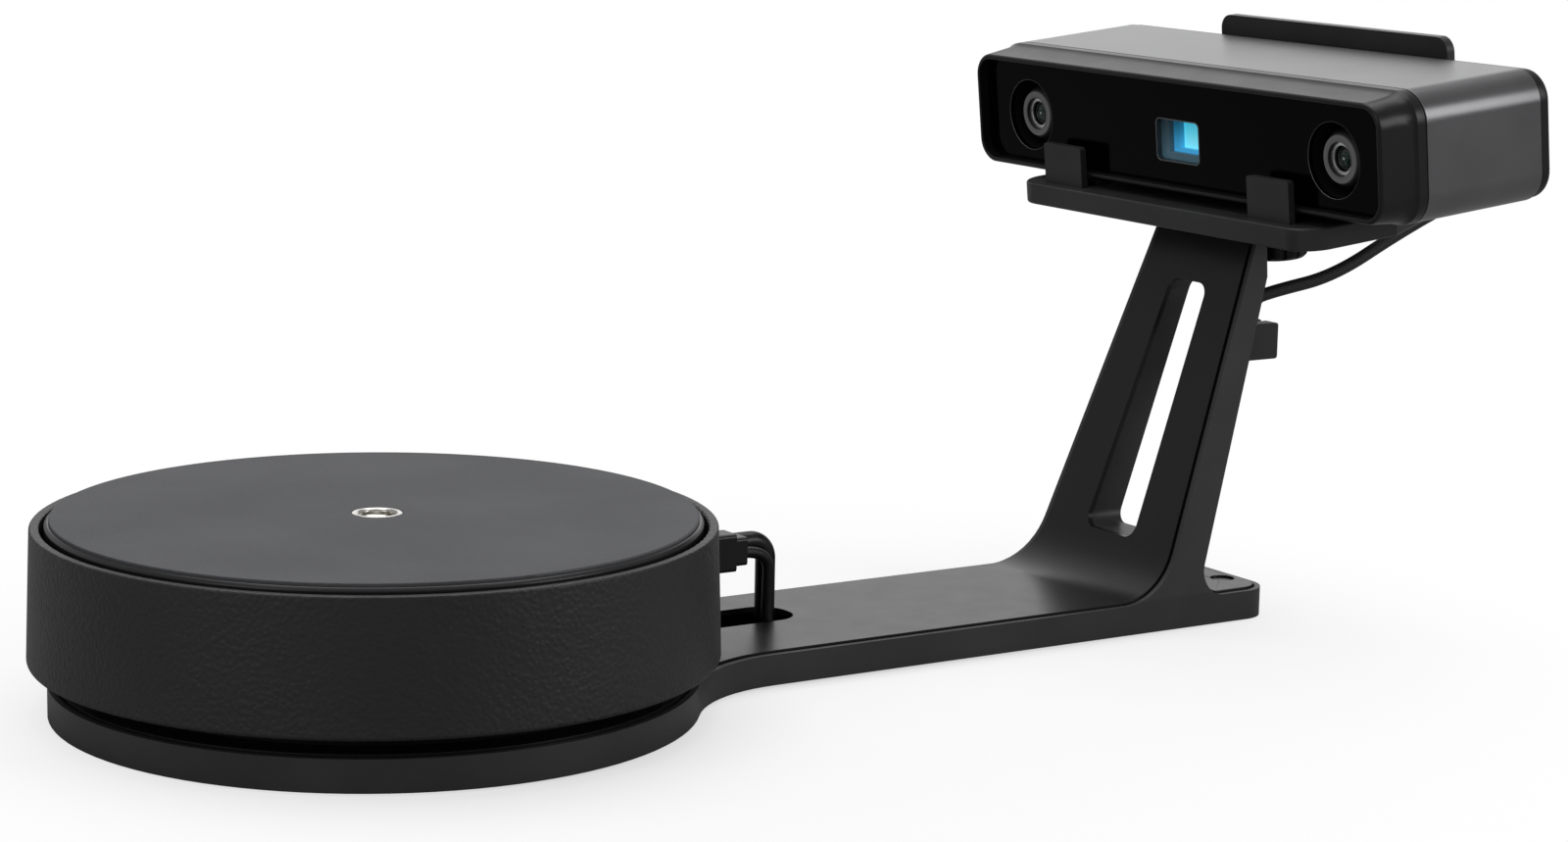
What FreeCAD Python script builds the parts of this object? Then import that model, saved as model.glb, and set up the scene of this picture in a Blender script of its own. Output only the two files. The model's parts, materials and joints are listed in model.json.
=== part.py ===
import FreeCAD, Part
import math
import os

# Desktop 3d scanner: a turntable drum on a disc, a bridge, a leaning arm and a scan head in a cradle.
# Millimetres. The origin is on the table, under the middle of the turntable. +X runs from the turntable
# to the head, +Y to the side, +Z up. The scan head and its cradle are drawn in a frame of their own:
# depth runs from the front rim to the back, side is the same as Y, and rise is the head's own up.

V = FreeCAD.Vector

# Clearances, cuts and screws
running_gap = 0.3
fit_gap = 0.05
shaft_gap = 0.06
overrun = 2.0
screw_radius = 1.5
screw_clearance = 0.15
screw_head_radius = 2.9
screw_head_height = 1.6
screw_bite_share = 0.5
screw_drive_share = 0.7
standoff_radius = 3.0
board_thickness = 1.6
chip_height = 1.6

# Turntable drum
drum_rim_radius = 100.0
drum_flare = 1.3
drum_bottom_z = 16.6
drum_rim_z = 56.3
drum_wall = 3.0
drum_foot_rounding = 1.4
drum_rim_rounding = 0.7
drum_ledge_width = 6.5
drum_ledge_thickness = 2.2
floor_disc_lift = 0.9
floor_disc_thickness = 2.5
neck_inset = 16.0
neck_wall = 3.5
drum_screw_inset = 10.5
drum_screw_count = 4
drum_screw_angle = 45.0
drum_boss_radius = 5.0
ledge_screw_count = 6

# Platter and what turns with it
platter_edge_gap = 1.3
platter_rise = 1.4
platter_thickness = 4.3
platter_bevel = 0.9
platter_rib_depth = 1.6
platter_rib_width = 2.4
platter_rib_count = 8
mat_thickness = 1.0
mat_inset = 1.3
mat_rounding = 0.5
insert_wall = 2.1
insert_thread_radius = 5.5
insert_length = 14.0
insert_chamfer = 0.7
hub_flange_radius = 26.0
hub_flange_thickness = 3.0
hub_radius = 12.0
hub_length = 24.0

# Bearing in the middle of the drum floor
bearing_height = 8.0
bearing_wall = 3.0
bearing_drop = 8.5
bearing_ball_radius = 2.9
bearing_ball_count = 12
bearing_groove_gap = 0.06
bearing_lip_share = 0.45
boss_wall = 4.0
circlip_thickness = 1.2
circlip_width = 2.4
circlip_groove_depth = 1.0
circlip_mouth_share = 0.7

# Drive
ring_gear_teeth = 80
pinion_teeth = 16
pressure_angle = 20.0
tooth_backlash = 0.3
addendum_share = 0.9
dedendum_share = 1.25
ring_gear_height = 6.0
ring_gear_web = 9.0
pinion_hub_radius = 6.5
pinion_hub_height = 2.0
pinion_drop = 0.6
motor_shaft_radius = 2.5
motor_shaft_depth = 10.0
motor_size = 35.0
motor_corner = 3.0
motor_edge_room = 7.5
motor_floor_room = 2.8
motor_boss_radius = 11.0
motor_boss_height = 1.6
motor_screw_inset = 4.5
motor_screw_depth = 3.0
motor_screw_head_share = 1.7
bracket_thickness = 2.0
bracket_foot_length = 11.0

# Control board, sockets and plugs of the turntable
turntable_board_room = 12.1
turntable_board_width = 56.0
turntable_board_inset = 6.0
turntable_chip_shares = ((0.28, -0.46, 0.2, 0.18), (0.24, 0.42, 0.13, 0.2), (0.6, -0.5, 0.1, 0.08),
                         (0.6, 0.5, 0.1, 0.08))
socket_length = 14.0
socket_overhang = 10.0
socket_wall = 1.0
socket_setback = 1.0
plug_rise = 35.0
plug_nose_length = 10.0
plug_nose_inset = 1.2
plug_corner = 1.2
data_plug_side = -0.5
data_plug_width = 9.0
data_plug_height = 12.0
data_plug_length = 19.8
data_plug_tail = 4.4
data_plug_step = 1.5
data_lead_drop = 1.1
power_plug_side = 9.5
power_plug_width = 9.0
power_plug_height = 8.0
power_plug_length = 24.5
power_plug_drop = 1.0
power_plug_corner = 2.4
power_boot_radius = 3.2
power_boot_rise = 0.8
power_boot_bend = 6.0
power_boot_reach = 15.0
power_boot_end_z = 9.5
power_lead_start_z = 14.0

# Stand: disc, bridge, rear flange and leaning arm
foot_height = 0.8
foot_radius = 6.0
foot_inset = 12.0
foot_count = 6
base_top_z = 10.4
base_setback = 4.5
bridge_half_width = 37.0
flare_radius = 48.0
stand_end_x = 311.7
flange_corner = 11.0
stand_wall = 1.8
stand_ledge = 1.6
stand_floor = 2.0
arm_rear_wall = 2.6
arm_top_block = 9.0
arm_front_foot_x = 265.3
arm_front_lean_share = 0.3684
arm_foot_thickness = 14.1
arm_rear_lean_share = 0.3140
arm_front_fillet = 23.0
arm_rear_fillet = 8.0
arm_top_half_width = 25.5
skin_thickness = 1.8
skin_rise = 0.7
skin_groove = 0.7
post_radius = 4.0
bridge_screw_start = 55.5
bridge_screw_end_room = 10.0
bridge_screw_inset = 11.0
disc_screw_inset = 10.5
disc_screw_count = 6
disc_screw_angle = 30.0

# Slot through the arm, and the slot for the leads in the bridge
slot_foot_rise = 15.9
slot_top_margin = 21.6
slot_bottom_half_width = 13.0
slot_top_half_width = 9.6
slot_corner = 4.5
slot_wall = 1.8
lead_slot_start = 0.5
lead_slot_length = 52.7
lead_slot_side = 8.0
lead_slot_half_width = 10.0
lead_slot_corner = 9.0

# Rear flange: cover, recesses and sockets
cover_start_inset = 23.2
recess_inset = 8.1
recess_side = 20.0
recess_radius = 4.0
recess_depth = 0.7
recess_plug_height = 2.0
recess_plug_lip = 0.6
rear_socket_side = 9.0
rear_data_width = 9.4
rear_data_height = 3.4
rear_power_width = 8.0
rear_power_height = 4.8
rear_socket_wall = 0.6
rear_socket_depth = 9.0
rear_tongue_share = 0.7
rear_tongue_thickness = 0.7
rear_pin_radius = 0.8

# Junction board in the foot of the arm
junction_length = 55.0
junction_end_inset = 10.7
junction_half_width = 24.0
junction_lift = 0.6
junction_post_inset = 5.0
junction_chip_shares = ((0.16, -0.15, 0.12, 0.14), (0.34, 0.2, 0.14, 0.16))
lead_block_length = 6.0
lead_block_half_width = 17.0
lead_block_side = 4.0
header_size = 9.0
header_height = 3.2
header_setback = 3.5

# Leads. The places are the routes, as the leads lie. In the bridge, x is counted from the plug's end in
# the first list and from the lead block in the second
bend_share = 0.45
data_lead_radius = 1.8
power_lead_radius = 1.8
head_lead_radius = 2.15
bridge_lead_z = 5.6
data_lead_reach = 10.2
data_lead_near_places = ((10.5, 0.3, 21.0), (10.2, 0.7, 5.6), (34.2, 0.3, 5.6))
data_lead_far_places = ((-50.0, 4.0, 5.6), (-19.0, 3.5, 5.6))
power_lead_near_places = ((12.0, 9.5, 5.6), (33.0, 12.0, 5.6))
power_lead_far_places = ((-33.0, 13.5, 5.6), (-18.0, 13.0, 5.6))
head_lead_exit_run = 15.0
head_lead_places = ((395.9, -37.0, 154.0), (387.9, -35.5, 136.5), (363.0, -33.0, 125.5),
                    (340.0, -27.5, 111.6), (321.0, -20.0, 106.8))
head_lead_side = -18.0
head_lead_offset = 3.4
head_lead_bow = 2.1
head_lead_above_clip = 7.0
head_lead_below_clip = 7.3
lead_entry_z = 50.0
lead_exit_z = 31.0
lead_exit_room = 3.8
header_bend_z = 20.0
grommet_wall = 1.9
grommet_gap = 0.15
grommet_length = 9.0
gland_side = -38.0
gland_radius = 4.6
gland_neck_radius = 3.4
gland_step = 1.2
gland_length = 9.0
gland_tip_radius = 3.0
gland_lip = 0.3

# Cable clip behind the arm
clip_drop = 46.3
clip_height = 12.0
clip_reach = 14.4
clip_near_width = 7.0
clip_far_width = 7.0
clip_mouth = 3.4
clip_corner = 1.0
clip_screw_inset = 2.6
clip_screw_head_share = 1.5

# Head frame: the middle of the front rim, leaning nose down
head_x = 288.3
head_z = 158.2
head_tilt = 6.0

# Scan head
rim_half_width = 105.4
rim_half_height = 19.0
rim_corner = 8.0
rim_width = 1.7
rim_chamfer = 0.6
bezel_flare = 1.3
bezel_step = 0.9
bezel_flare_depth = 12.0
bezel_step_run = 1.6
bezel_depth = 17.0
window_recess = 3.8
window_thickness = 2.0
window_ledge = 1.0
seam_gap = 0.35
spigot_depth = 3.0
shell_length = 48.0
shell_wall = 2.2
cap_inset = 0.5
cap_depth = 5.0
cap_rounding = 2.4
cap_wall = 2.2
cap_lip_wall = 2.2
cap_screw_side_inset = 9.0
cap_screw_rise_inset = 8.0
cap_screw_length = 6.0
vent_count = 9
vent_width = 1.8
vent_height = 12.0
vent_corner = 0.8
vent_pitch = 4.4
vent_end_inset = 33.4

# Cameras
camera_end_inset = 26.1
camera_rise = -1.2
aperture_radius = 12.3
hood_wall = 1.2
hood_depth = 9.0
hood_throat_radius = 10.4
barrel_setback = 0.4
barrel_radius = 9.6
barrel_nose_length = 2.4
barrel_flank_length = 9.0
barrel_tail_radius = 7.4
barrel_nose_shares = ((0.0, 0.79), (0.12, 0.82), (1.0, 0.97))
ring_radius = 5.4
ring_bore_radius = 3.5
ring_length = 1.4
ring_recess = 1.2
ring_edge_share = 0.78
ring_mouth_share = 1.1
glass_radius = 3.4
glass_dome = 0.9
glass_thickness = 1.6
camera_board_half = 13.0
camera_chip_half = 5.0

# Projector
projector_side = -1.5
projector_rise = -2.8
projector_width = 22.8
projector_height = 14.6
projector_corner = 2.2
projector_frame_width = 0.45
projector_glass_thickness = 1.0
projector_glass_setback = 0.8
guide_step_depth = 2.2
guide_pocket_insets = ((4.3, 2.5), (7.1, 3.7))
projector_lens_radius = 7.5
projector_lens_length = 8.0
projector_body_half_width = 16.0
projector_body_half_height = 14.0
projector_body_length = 18.0
heatsink_fin_count = 6
heatsink_fin_thickness = 1.2
heatsink_base_thickness = 2.4
heatsink_fin_length = 7.0

# Optical rail and main board in the head
rail_depth = 26.0
rail_thickness = 8.0
rail_end_room = 9.4
rail_half_height = 14.0
main_board_setback = 10.0
main_board_end_room = 17.4
main_board_half_height = 14.0
main_board_rest_shares = (0.3, 0.66)
main_board_rest_inset = 3.0
main_board_chip_shares = ((-0.8, 0.05), (-0.55, 0.08), (0.34, 0.06), (0.7, 0.08))

# Cradle
cradle_thickness = 7.4
cradle_nose = 6.6
cradle_half_width = 77.0
cradle_corner = 10.6
cradle_side_corner = 1.5
cradle_straight_end = 31.0
cradle_rear_half_width = 58.0
cradle_rear_setback = 2.0
cradle_rear_corner = 6.0
cradle_edge = 0.8
prong_side = 54.0
prong_width = 20.5
prong_thickness = 2.4
prong_height = 13.8
prong_corner = 1.2
prong_foot_length = 16.0
prong_foot_thickness = 1.2
prong_foot_drop = 0.2
prong_screw_share = 0.7
pad_height = 1.2
pad_half_length = 11.0
pad_width = 9.0
pad_depths = (19.0, 50.0)
pad_side = 36.0
cradle_screw_side = 15.0
cradle_screw_grip = 4.5

# Rear clamp jaw and its knob
jaw_travel = 10.0
jaw_pad_thickness = 2.0
jaw_plate_thickness = 3.2
tongue_half_width = 14.0
tongue_thickness = 2.9
tongue_lead = 5.0
tongue_gap = 0.2
tongue_lift = 0.1
jaw_stem_half_width = 22.0
jaw_bar_half_width = 57.5
jaw_bar_rise = 5.6
jaw_bar_height = 18.4
jaw_corner = 5.0
jaw_pad_inset = 7.5
jaw_pad_height = 8.0
jaw_pad_corner = 1.2
jaw_pad_drop = 8.4
knob_depth = 46.0
knob_stem_radius = 2.9
knob_collar_radius = 5.2
knob_collar_length = 8.0
knob_radius = 9.8
knob_height = 10.6
knob_grip_count = 12
knob_grip_radius = 1.6
knob_grip_share = 0.5
knob_edge = 1.0
bush_radius = 5.0
bush_length = 3.6

made = {}


def keep(name, *solids):
    """Store one named piece, or a group of like pieces, as one STEP file."""
    shape = solids[0] if len(solids) == 1 else Part.makeCompound(list(solids))
    made[name] = shape
    shape.exportStep("parts/" + name + ".step")
    return shape


def block(x0, x1, y0, y1, z0, z1):
    return Part.makeBox(x1 - x0, y1 - y0, z1 - z0, V(x0, y0, z0))


def post(x, y, z0, z1, radius):
    return Part.makeCylinder(radius, z1 - z0, V(x, y, z0))


def pipe(x, y, z0, z1, outer, inner):
    return post(x, y, z0, z1, outer).cut(post(x, y, z0 - overrun, z1 + overrun, inner))


def peg(x0, x1, y, z, radius):
    """A round bar along X."""
    return Part.makeCylinder(radius, x1 - x0, V(x0, y, z), V(1, 0, 0))


def join(shapes):
    return shapes[0].multiFuse(shapes[1:]).removeSplitter()


def rounded_edges(points, radii, closed=True):
    """Straight runs joined by tangent arcs. A radius of zero leaves a sharp corner."""
    count = len(points)
    starts = []
    ends = []
    arcs = []
    for i in range(count):
        p = points[i]
        radius = radii[i]
        if radius == 0 or (not closed and i in (0, count - 1)):
            starts.append(p)
            ends.append(p)
            arcs.append(None)
            continue
        before = (points[i - 1] - p).normalize()
        after = (points[(i + 1) % count] - p).normalize()
        half = before.getAngle(after) / 2
        middle = (before + after).normalize()
        centre = p + middle * (radius / math.sin(half))
        first = p + before * (radius / math.tan(half))
        last = p + after * (radius / math.tan(half))
        starts.append(first)
        ends.append(last)
        arcs.append(Part.Arc(first, centre - middle * radius, last).toShape())
    edges = []
    spans = count if closed else count - 1
    for i in range(count):
        if arcs[i] is not None:
            edges.append(arcs[i])
        if i < spans:
            a = ends[i]
            b = starts[(i + 1) % count]
            if a.distanceToPoint(b) > fit_gap / 100:
                edges.append(Part.LineSegment(a, b).toShape())
    return edges


def slab(points, radii, along):
    """A flat outline pushed along a vector. One radius serves all corners."""
    if not isinstance(radii, (list, tuple)):
        radii = [radii] * len(points)
    wire = Part.Wire(rounded_edges(points, radii))
    return Part.Face(wire).extrude(along)


def oblong(x, half_width, half_height, y=0, z=0):
    """Corner points of an upright rectangle that faces along X."""
    return [V(x, y - half_width, z - half_height), V(x, y + half_width, z - half_height),
            V(x, y + half_width, z + half_height), V(x, y - half_width, z + half_height)]


def upright(x0, x1, half_width, half_height, corner, y=0, z=0):
    """A bar along X with a rounded rectangular section."""
    return slab(oblong(x0, half_width, half_height, y, z), corner, V(x1 - x0, 0, 0))


def lathe(points, x=0, y=0):
    """Turn an outline of radius and height about an upright axis."""
    corners = [V(x + r, y, z) for r, z in points]
    wire = Part.makePolygon(corners + [corners[0]])
    return Part.Face(wire).revolve(V(x, y, 0), V(0, 0, 1), 360)


def lathe_ahead(points, y, z):
    """Turn an outline of depth and radius about an axis along X."""
    corners = [V(depth, y + r, z) for depth, r in points]
    wire = Part.makePolygon(corners + [corners[0]])
    return Part.Face(wire).revolve(V(0, y, z), V(1, 0, 0), 360)


def around(count, radius, turn=0.0):
    """Places evenly round the turntable axis."""
    places = []
    for i in range(count):
        angle = math.radians(turn) + 2 * math.pi * i / count
        places.append((radius * math.cos(angle), radius * math.sin(angle)))
    return places


head_turn = FreeCAD.Rotation(V(0, 1, 0), -head_tilt)
head_origin = V(head_x, 0, head_z)
head_back = head_turn.multVec(V(1, 0, 0))
head_up = head_turn.multVec(V(0, 0, 1))


def to_head(shape):
    """Carry a shape from the head's own frame to where the head leans."""
    moved = shape.copy()
    moved.Placement = FreeCAD.Placement(head_origin, head_turn)
    return moved


def head_point(depth, side, rise):
    return head_origin + head_turn.multVec(V(depth, side, rise))


def bend_reach(points, i):
    """How far the arc at point i reaches along its two runs."""
    if i in (0, len(points) - 1):
        return 0
    before = (points[i - 1] - points[i]).Length
    after = (points[i + 1] - points[i]).Length
    return bend_share * min(before, after)


def tube(points, radius, name):
    """A lead along straight runs and tangent arcs, as large as its runs allow."""
    radii = [0]
    for i in range(1, len(points) - 1):
        before = points[i - 1] - points[i]
        after = points[i + 1] - points[i]
        turn = math.pi - before.getAngle(after)
        radii.append(bend_reach(points, i) / math.tan(turn / 2))
    radii.append(0)
    path = Part.Wire(rounded_edges(points, radii, closed=False))
    ring = Part.Wire([Part.makeCircle(radius, points[0], points[1] - points[0])])
    solid = path.makePipeShell([ring], True, False)
    share = solid.Volume / (math.pi * radius * radius * path.Length)
    inner = [round(r, 1) for r in radii[1:-1]]
    print(name, "length", round(path.Length, 1), "radii", inner, "volume share", round(share, 4))
    return solid


def screw_up(x, y, z0, z1):
    """A screw whose head is at the bottom."""
    head = post(x, y, z0, z0 + screw_head_height, screw_head_radius)
    shank = post(x, y, z0 + screw_head_height, z1, screw_radius)
    drive = post(x, y, z0 - overrun, z0 + screw_head_height / 2, screw_radius * screw_drive_share)
    return head.fuse(shank).cut(drive).removeSplitter()


# Sizes that follow from the ones above
screw_hole_radius = screw_radius + screw_clearance
drum_bottom_radius = drum_rim_radius + drum_flare
base_radius = drum_rim_radius - base_setback
neck_radius = drum_rim_radius - neck_inset
drum_screw_circle = neck_radius - neck_wall - drum_screw_inset
wall_inner_low = drum_bottom_radius - drum_wall
wall_inner_high = drum_rim_radius - drum_wall
platter_radius = wall_inner_high - platter_edge_gap
platter_top = drum_rim_z + platter_rise
platter_bottom = platter_top - platter_thickness
mat_top = platter_top + mat_thickness
insert_radius = insert_thread_radius + insert_wall
insert_bottom = mat_top - insert_length
hub_shaft_top = platter_bottom - hub_flange_thickness
hub_bottom = hub_shaft_top - hub_length
bearing_top = hub_shaft_top - bearing_drop
bearing_bottom = bearing_top - bearing_height
bearing_middle = (bearing_top + bearing_bottom) / 2
inner_ring_radius = hub_radius + fit_gap + bearing_wall
ball_circle = inner_ring_radius + bearing_ball_radius
outer_ring_bore = ball_circle + bearing_ball_radius
outer_ring_radius = outer_ring_bore + bearing_wall
boss_bore = outer_ring_radius + fit_gap
boss_radius = boss_bore + boss_wall
skin_top_z = base_top_z + skin_rise
skin_under_z = skin_top_z - skin_thickness
floor_top_z = foot_height + stand_floor
floor_disc_z = drum_bottom_z + floor_disc_lift
floor_disc_top = floor_disc_z + floor_disc_thickness
ledge_screw_circle = wall_inner_low - drum_ledge_width / 2
gear_distance = wall_inner_high - motor_size / 2 - motor_edge_room
gear_module = 2 * gear_distance / (ring_gear_teeth + pinion_teeth)
ring_gear_tip = gear_module * (ring_gear_teeth / 2 + addendum_share)
ring_gear_root = gear_module * (ring_gear_teeth / 2 - dedendum_share)
ring_gear_z = platter_bottom - ring_gear_height
pinion_top = platter_bottom - platter_rib_depth - pinion_drop
bracket_top = ring_gear_z - pinion_hub_height - running_gap * 2
motor_top = bracket_top - bracket_thickness
motor_bottom = floor_disc_top + motor_floor_room
shaft_bottom = motor_top - motor_shaft_depth
socket_end_x = wall_inner_high - socket_setback
socket_start_x = socket_end_x - socket_length
turntable_board_end = socket_end_x - socket_overhang
turntable_board_start = boss_radius + turntable_board_room
turntable_board_length = turntable_board_end - turntable_board_start
board_top_z = plug_rise - data_plug_height / 2
plug_start_x = drum_bottom_radius + running_gap
data_plug_end_x = plug_start_x + data_plug_length + data_plug_tail
power_plug_end_x = plug_start_x + power_plug_length
power_lead_x = power_plug_end_x + power_boot_reach
arm_rear_foot_x = arm_front_foot_x + arm_foot_thickness
flange_cover_x = stand_end_x - cover_start_inset
recess_x = stand_end_x - recess_inset
junction_end_x = stand_end_x - junction_end_inset
junction_start_x = junction_end_x - junction_length
lead_block_x = junction_start_x - lead_block_length
junction_z = floor_top_z + junction_lift
junction_top_z = junction_z + board_thickness
rear_socket_z = (floor_top_z + skin_under_z) / 2
bezel_step_depth = bezel_flare_depth + bezel_step_run
seam_growth = bezel_flare + bezel_step
camera_side = rim_half_width - camera_end_inset
rail_half_width = rim_half_width - rail_end_room
main_board_half_width = rim_half_width - main_board_end_room
vent_side = rim_half_width - vent_end_inset
seam_half_width = rim_half_width + seam_growth
seam_half_height = rim_half_height + seam_growth
seam_corner = rim_corner + seam_growth
pane_back = window_recess + window_thickness
shell_start = bezel_depth + seam_gap
shell_end = bezel_depth + shell_length
cap_start = shell_end + seam_gap
cap_end = shell_end + cap_depth
cap_front = shell_end - spigot_depth
gland_tip_depth = cap_end + gland_length
cradle_top = -seam_half_height - pad_height
cradle_bottom = cradle_top - cradle_thickness
cradle_rear = cap_end - cradle_rear_setback
jaw_plate_depth = cap_end + running_gap + jaw_pad_thickness
jaw_bar_top = seam_half_height + jaw_bar_rise
jaw_bar_bottom = jaw_bar_top - jaw_bar_height
tongue_start = knob_depth - jaw_travel - tongue_lead
tongue_low = cradle_bottom + tongue_lift
groove_ceiling = tongue_low + tongue_thickness + tongue_gap
stem_slot_radius = knob_stem_radius + tongue_gap
rail_back = rail_depth + rail_thickness


# Stand

def front_x(z, deeper=0.0):
    """The arm's front line, or one that lies deeper in the arm."""
    slant = math.hypot(1, arm_front_lean_share)
    return arm_front_foot_x + (z - base_top_z) * arm_front_lean_share + deeper * slant


def rear_x(z, deeper=0.0):
    slant = math.hypot(1, arm_rear_lean_share)
    return arm_rear_foot_x + (z - base_top_z) * arm_rear_lean_share - deeper * slant


def arm_top(foot_x, lean_share, drop=0.0):
    """Where a leaning line meets the underside of the cradle, or a plane just below it."""
    seat = head_point(0, 0, cradle_bottom - drop)
    slope = math.tan(math.radians(head_tilt))
    z = (seat.z + (foot_x - base_top_z * lean_share - seat.x) * slope) / (1 - lean_share * slope)
    return V(foot_x + (z - base_top_z) * lean_share, 0, z)


top_front = arm_top(arm_front_foot_x, arm_front_lean_share)
top_rear = arm_top(arm_rear_foot_x, arm_rear_lean_share)
top_middle = (top_front + top_rear) * 0.5
cradle_screw_depth = (top_middle - head_origin).dot(head_back)
high_z = top_rear.z + overrun * 2
left_x = -base_radius - overrun
right_x = stand_end_x + overrun
wide_y = base_radius + overrun
slot_bottom_z = base_top_z + slot_foot_rise
slot_top_z = top_front.z - slot_top_margin
clip_bottom_z = top_rear.z - clip_drop
clip_top_z = clip_bottom_z + clip_height
clip_middle_z = clip_bottom_z + clip_height / 2
clip_near_y = head_lead_side - clip_near_width
clip_far_y = head_lead_side + clip_far_width
clip_screw_y = clip_far_y - clip_screw_inset
clip_end_x = rear_x(clip_middle_z) + clip_reach
header_x = rear_x(base_top_z, arm_rear_wall) - header_setback
skin_screw_places = []
for screw_x in (base_radius + bridge_screw_start, junction_start_x - bridge_screw_end_room):
    for side in (-1, 1):
        skin_screw_places.append((screw_x, side * (bridge_half_width - bridge_screw_inset)))
skin_screw_places += around(disc_screw_count, base_radius - disc_screw_inset, disc_screw_angle)
drum_screw_places = around(drum_screw_count, drum_screw_circle, drum_screw_angle)
foot_places = [(0, 0)] + around(foot_count, base_radius - foot_inset)
for side in (-1, 1):
    foot_places.append((stand_end_x - foot_inset, side * (bridge_half_width - foot_inset)))


def stand_outline(inset, z0, z1):
    """Plan of the stand: the disc, flared into the bridge, up to the rounded rear end."""
    radius = base_radius - inset
    half = bridge_half_width - inset
    flare = flare_radius + inset
    centre_y = half + flare
    flare_x = math.sqrt((radius + flare) ** 2 - centre_y ** 2)
    share = radius / (radius + flare)
    touch = (flare_x * share, centre_y * share)
    towards = (V(-flare_x, -centre_y, 0).normalize() + V(0, -1, 0)).normalize()
    belly = (flare_x + towards.x * flare, centre_y + towards.y * flare)
    end_x = stand_end_x - inset
    corner = flange_corner - inset
    bevel = corner * (1 - math.sqrt(0.5))
    edges = [
        Part.Arc(V(touch[0], -touch[1], z0), V(-radius, 0, z0), V(touch[0], touch[1], z0)).toShape(),
        Part.Arc(V(touch[0], touch[1], z0), V(belly[0], belly[1], z0), V(flare_x, half, z0)).toShape(),
        Part.LineSegment(V(flare_x, half, z0), V(end_x - corner, half, z0)).toShape(),
        Part.Arc(V(end_x - corner, half, z0), V(end_x - bevel, half - bevel, z0),
                 V(end_x, half - corner, z0)).toShape(),
        Part.LineSegment(V(end_x, half - corner, z0), V(end_x, corner - half, z0)).toShape(),
        Part.Arc(V(end_x, corner - half, z0), V(end_x - bevel, bevel - half, z0),
                 V(end_x - corner, -half, z0)).toShape(),
        Part.LineSegment(V(end_x - corner, -half, z0), V(flare_x, -half, z0)).toShape(),
        Part.Arc(V(flare_x, -half, z0), V(belly[0], -belly[1], z0), V(touch[0], -touch[1], z0)).toShape(),
    ]
    return Part.Face(Part.Wire(edges)).extrude(V(0, 0, z1 - z0))


def from_side(points, radii):
    """An outline seen from the side, pushed across the whole width."""
    placed = [V(x, -wide_y, z) for x, z in points]
    return slab(placed, radii, V(0, 2 * wide_y, 0))


def from_front(inset):
    """Seen from the front: as wide as the disc at the foot, and an arm that narrows to its top."""
    low = bridge_half_width - inset
    narrowing = (bridge_half_width - arm_top_half_width) / (top_rear.z - skin_top_z)
    high = low - (high_z - skin_top_z) * narrowing
    points = [V(left_x, -wide_y, -overrun), V(left_x, wide_y, -overrun), V(left_x, wide_y, skin_top_z),
              V(left_x, low, skin_top_z), V(left_x, high, high_z), V(left_x, -high, high_z),
              V(left_x, -low, skin_top_z), V(left_x, -wide_y, skin_top_z)]
    return slab(points, 0, V(right_x - left_x, 0, 0))


def stand_core(inset):
    return stand_outline(inset, -overrun, high_z).common(from_front(inset))


def arm_slot(grow):
    """The slot through the arm, seen from the front, wider at its foot."""
    low = slot_bottom_z - grow
    high = slot_top_z + grow
    wide = slot_bottom_half_width + grow
    narrow = slot_top_half_width + grow
    start = front_x(slot_bottom_z) - arm_foot_thickness
    points = [V(start, -wide, low), V(start, wide, low), V(start, narrow, high), V(start, -narrow, high)]
    return slab(points, slot_corner + grow, V(rear_x(slot_top_z) + arm_foot_thickness - start, 0, 0))


def skin_band(near, deep, end_drop):
    """The band under the top of the bridge and the front of the arm, between two depths."""
    points = []
    radii = []
    for depth in (near, deep):
        foot_z = base_top_z - depth
        top = arm_top(front_x(base_top_z, depth), arm_front_lean_share, end_drop)
        side = [(left_x, foot_z), (front_x(foot_z, depth), foot_z), (top.x, top.z)]
        bend = [0, arm_front_fillet + depth, 0]
        if depth == deep:
            side.reverse()
            bend.reverse()
        points += side
        radii += bend
    return from_side(points, radii)


def lead_slot(z0, z1):
    low = lead_slot_side - lead_slot_half_width
    high = lead_slot_side + lead_slot_half_width
    start = base_radius + lead_slot_start
    end = start + lead_slot_length
    points = [V(start, low, z0), V(end, low, z0), V(end, high, z0), V(start, high, z0)]
    return slab(points, lead_slot_corner, V(0, 0, z1 - z0))


def rear_socket_bodies(grow, start_x, end_x):
    """The two sockets in the rear end, or the holes for them."""
    shapes = []
    for side, width, height in ((1, rear_data_width, rear_data_height), (-1, rear_power_width, rear_power_height)):
        y = side * rear_socket_side
        shapes.append(block(start_x, end_x, y - width / 2 - grow, y + width / 2 + grow,
                            rear_socket_z - height / 2 - grow, rear_socket_z + height / 2 + grow))
    return shapes


def head_lead_points():
    """From the gland behind the head, through the clip and the arm's rear wall, to the header."""
    above = clip_top_z + head_lead_above_clip
    below = clip_bottom_z - head_lead_below_clip
    points = [head_point(gland_tip_depth, gland_side, 0),
              head_point(gland_tip_depth + head_lead_exit_run, gland_side, 0)]
    points += [V(*place) for place in head_lead_places]
    points.append(V(rear_x(above) + head_lead_offset, head_lead_side, above))
    points.append(V(rear_x(below) + head_lead_offset, head_lead_side, below))
    points.append(V(rear_x(lead_entry_z) + head_lead_offset + head_lead_bow, head_lead_side, lead_entry_z))
    points.append(V(rear_x(lead_exit_z, arm_rear_wall) - lead_exit_room, head_lead_side, lead_exit_z))
    points.append(V(header_x, head_lead_side, header_bend_z))
    points.append(V(header_x, head_lead_side, junction_top_z + header_height))
    return points


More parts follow.
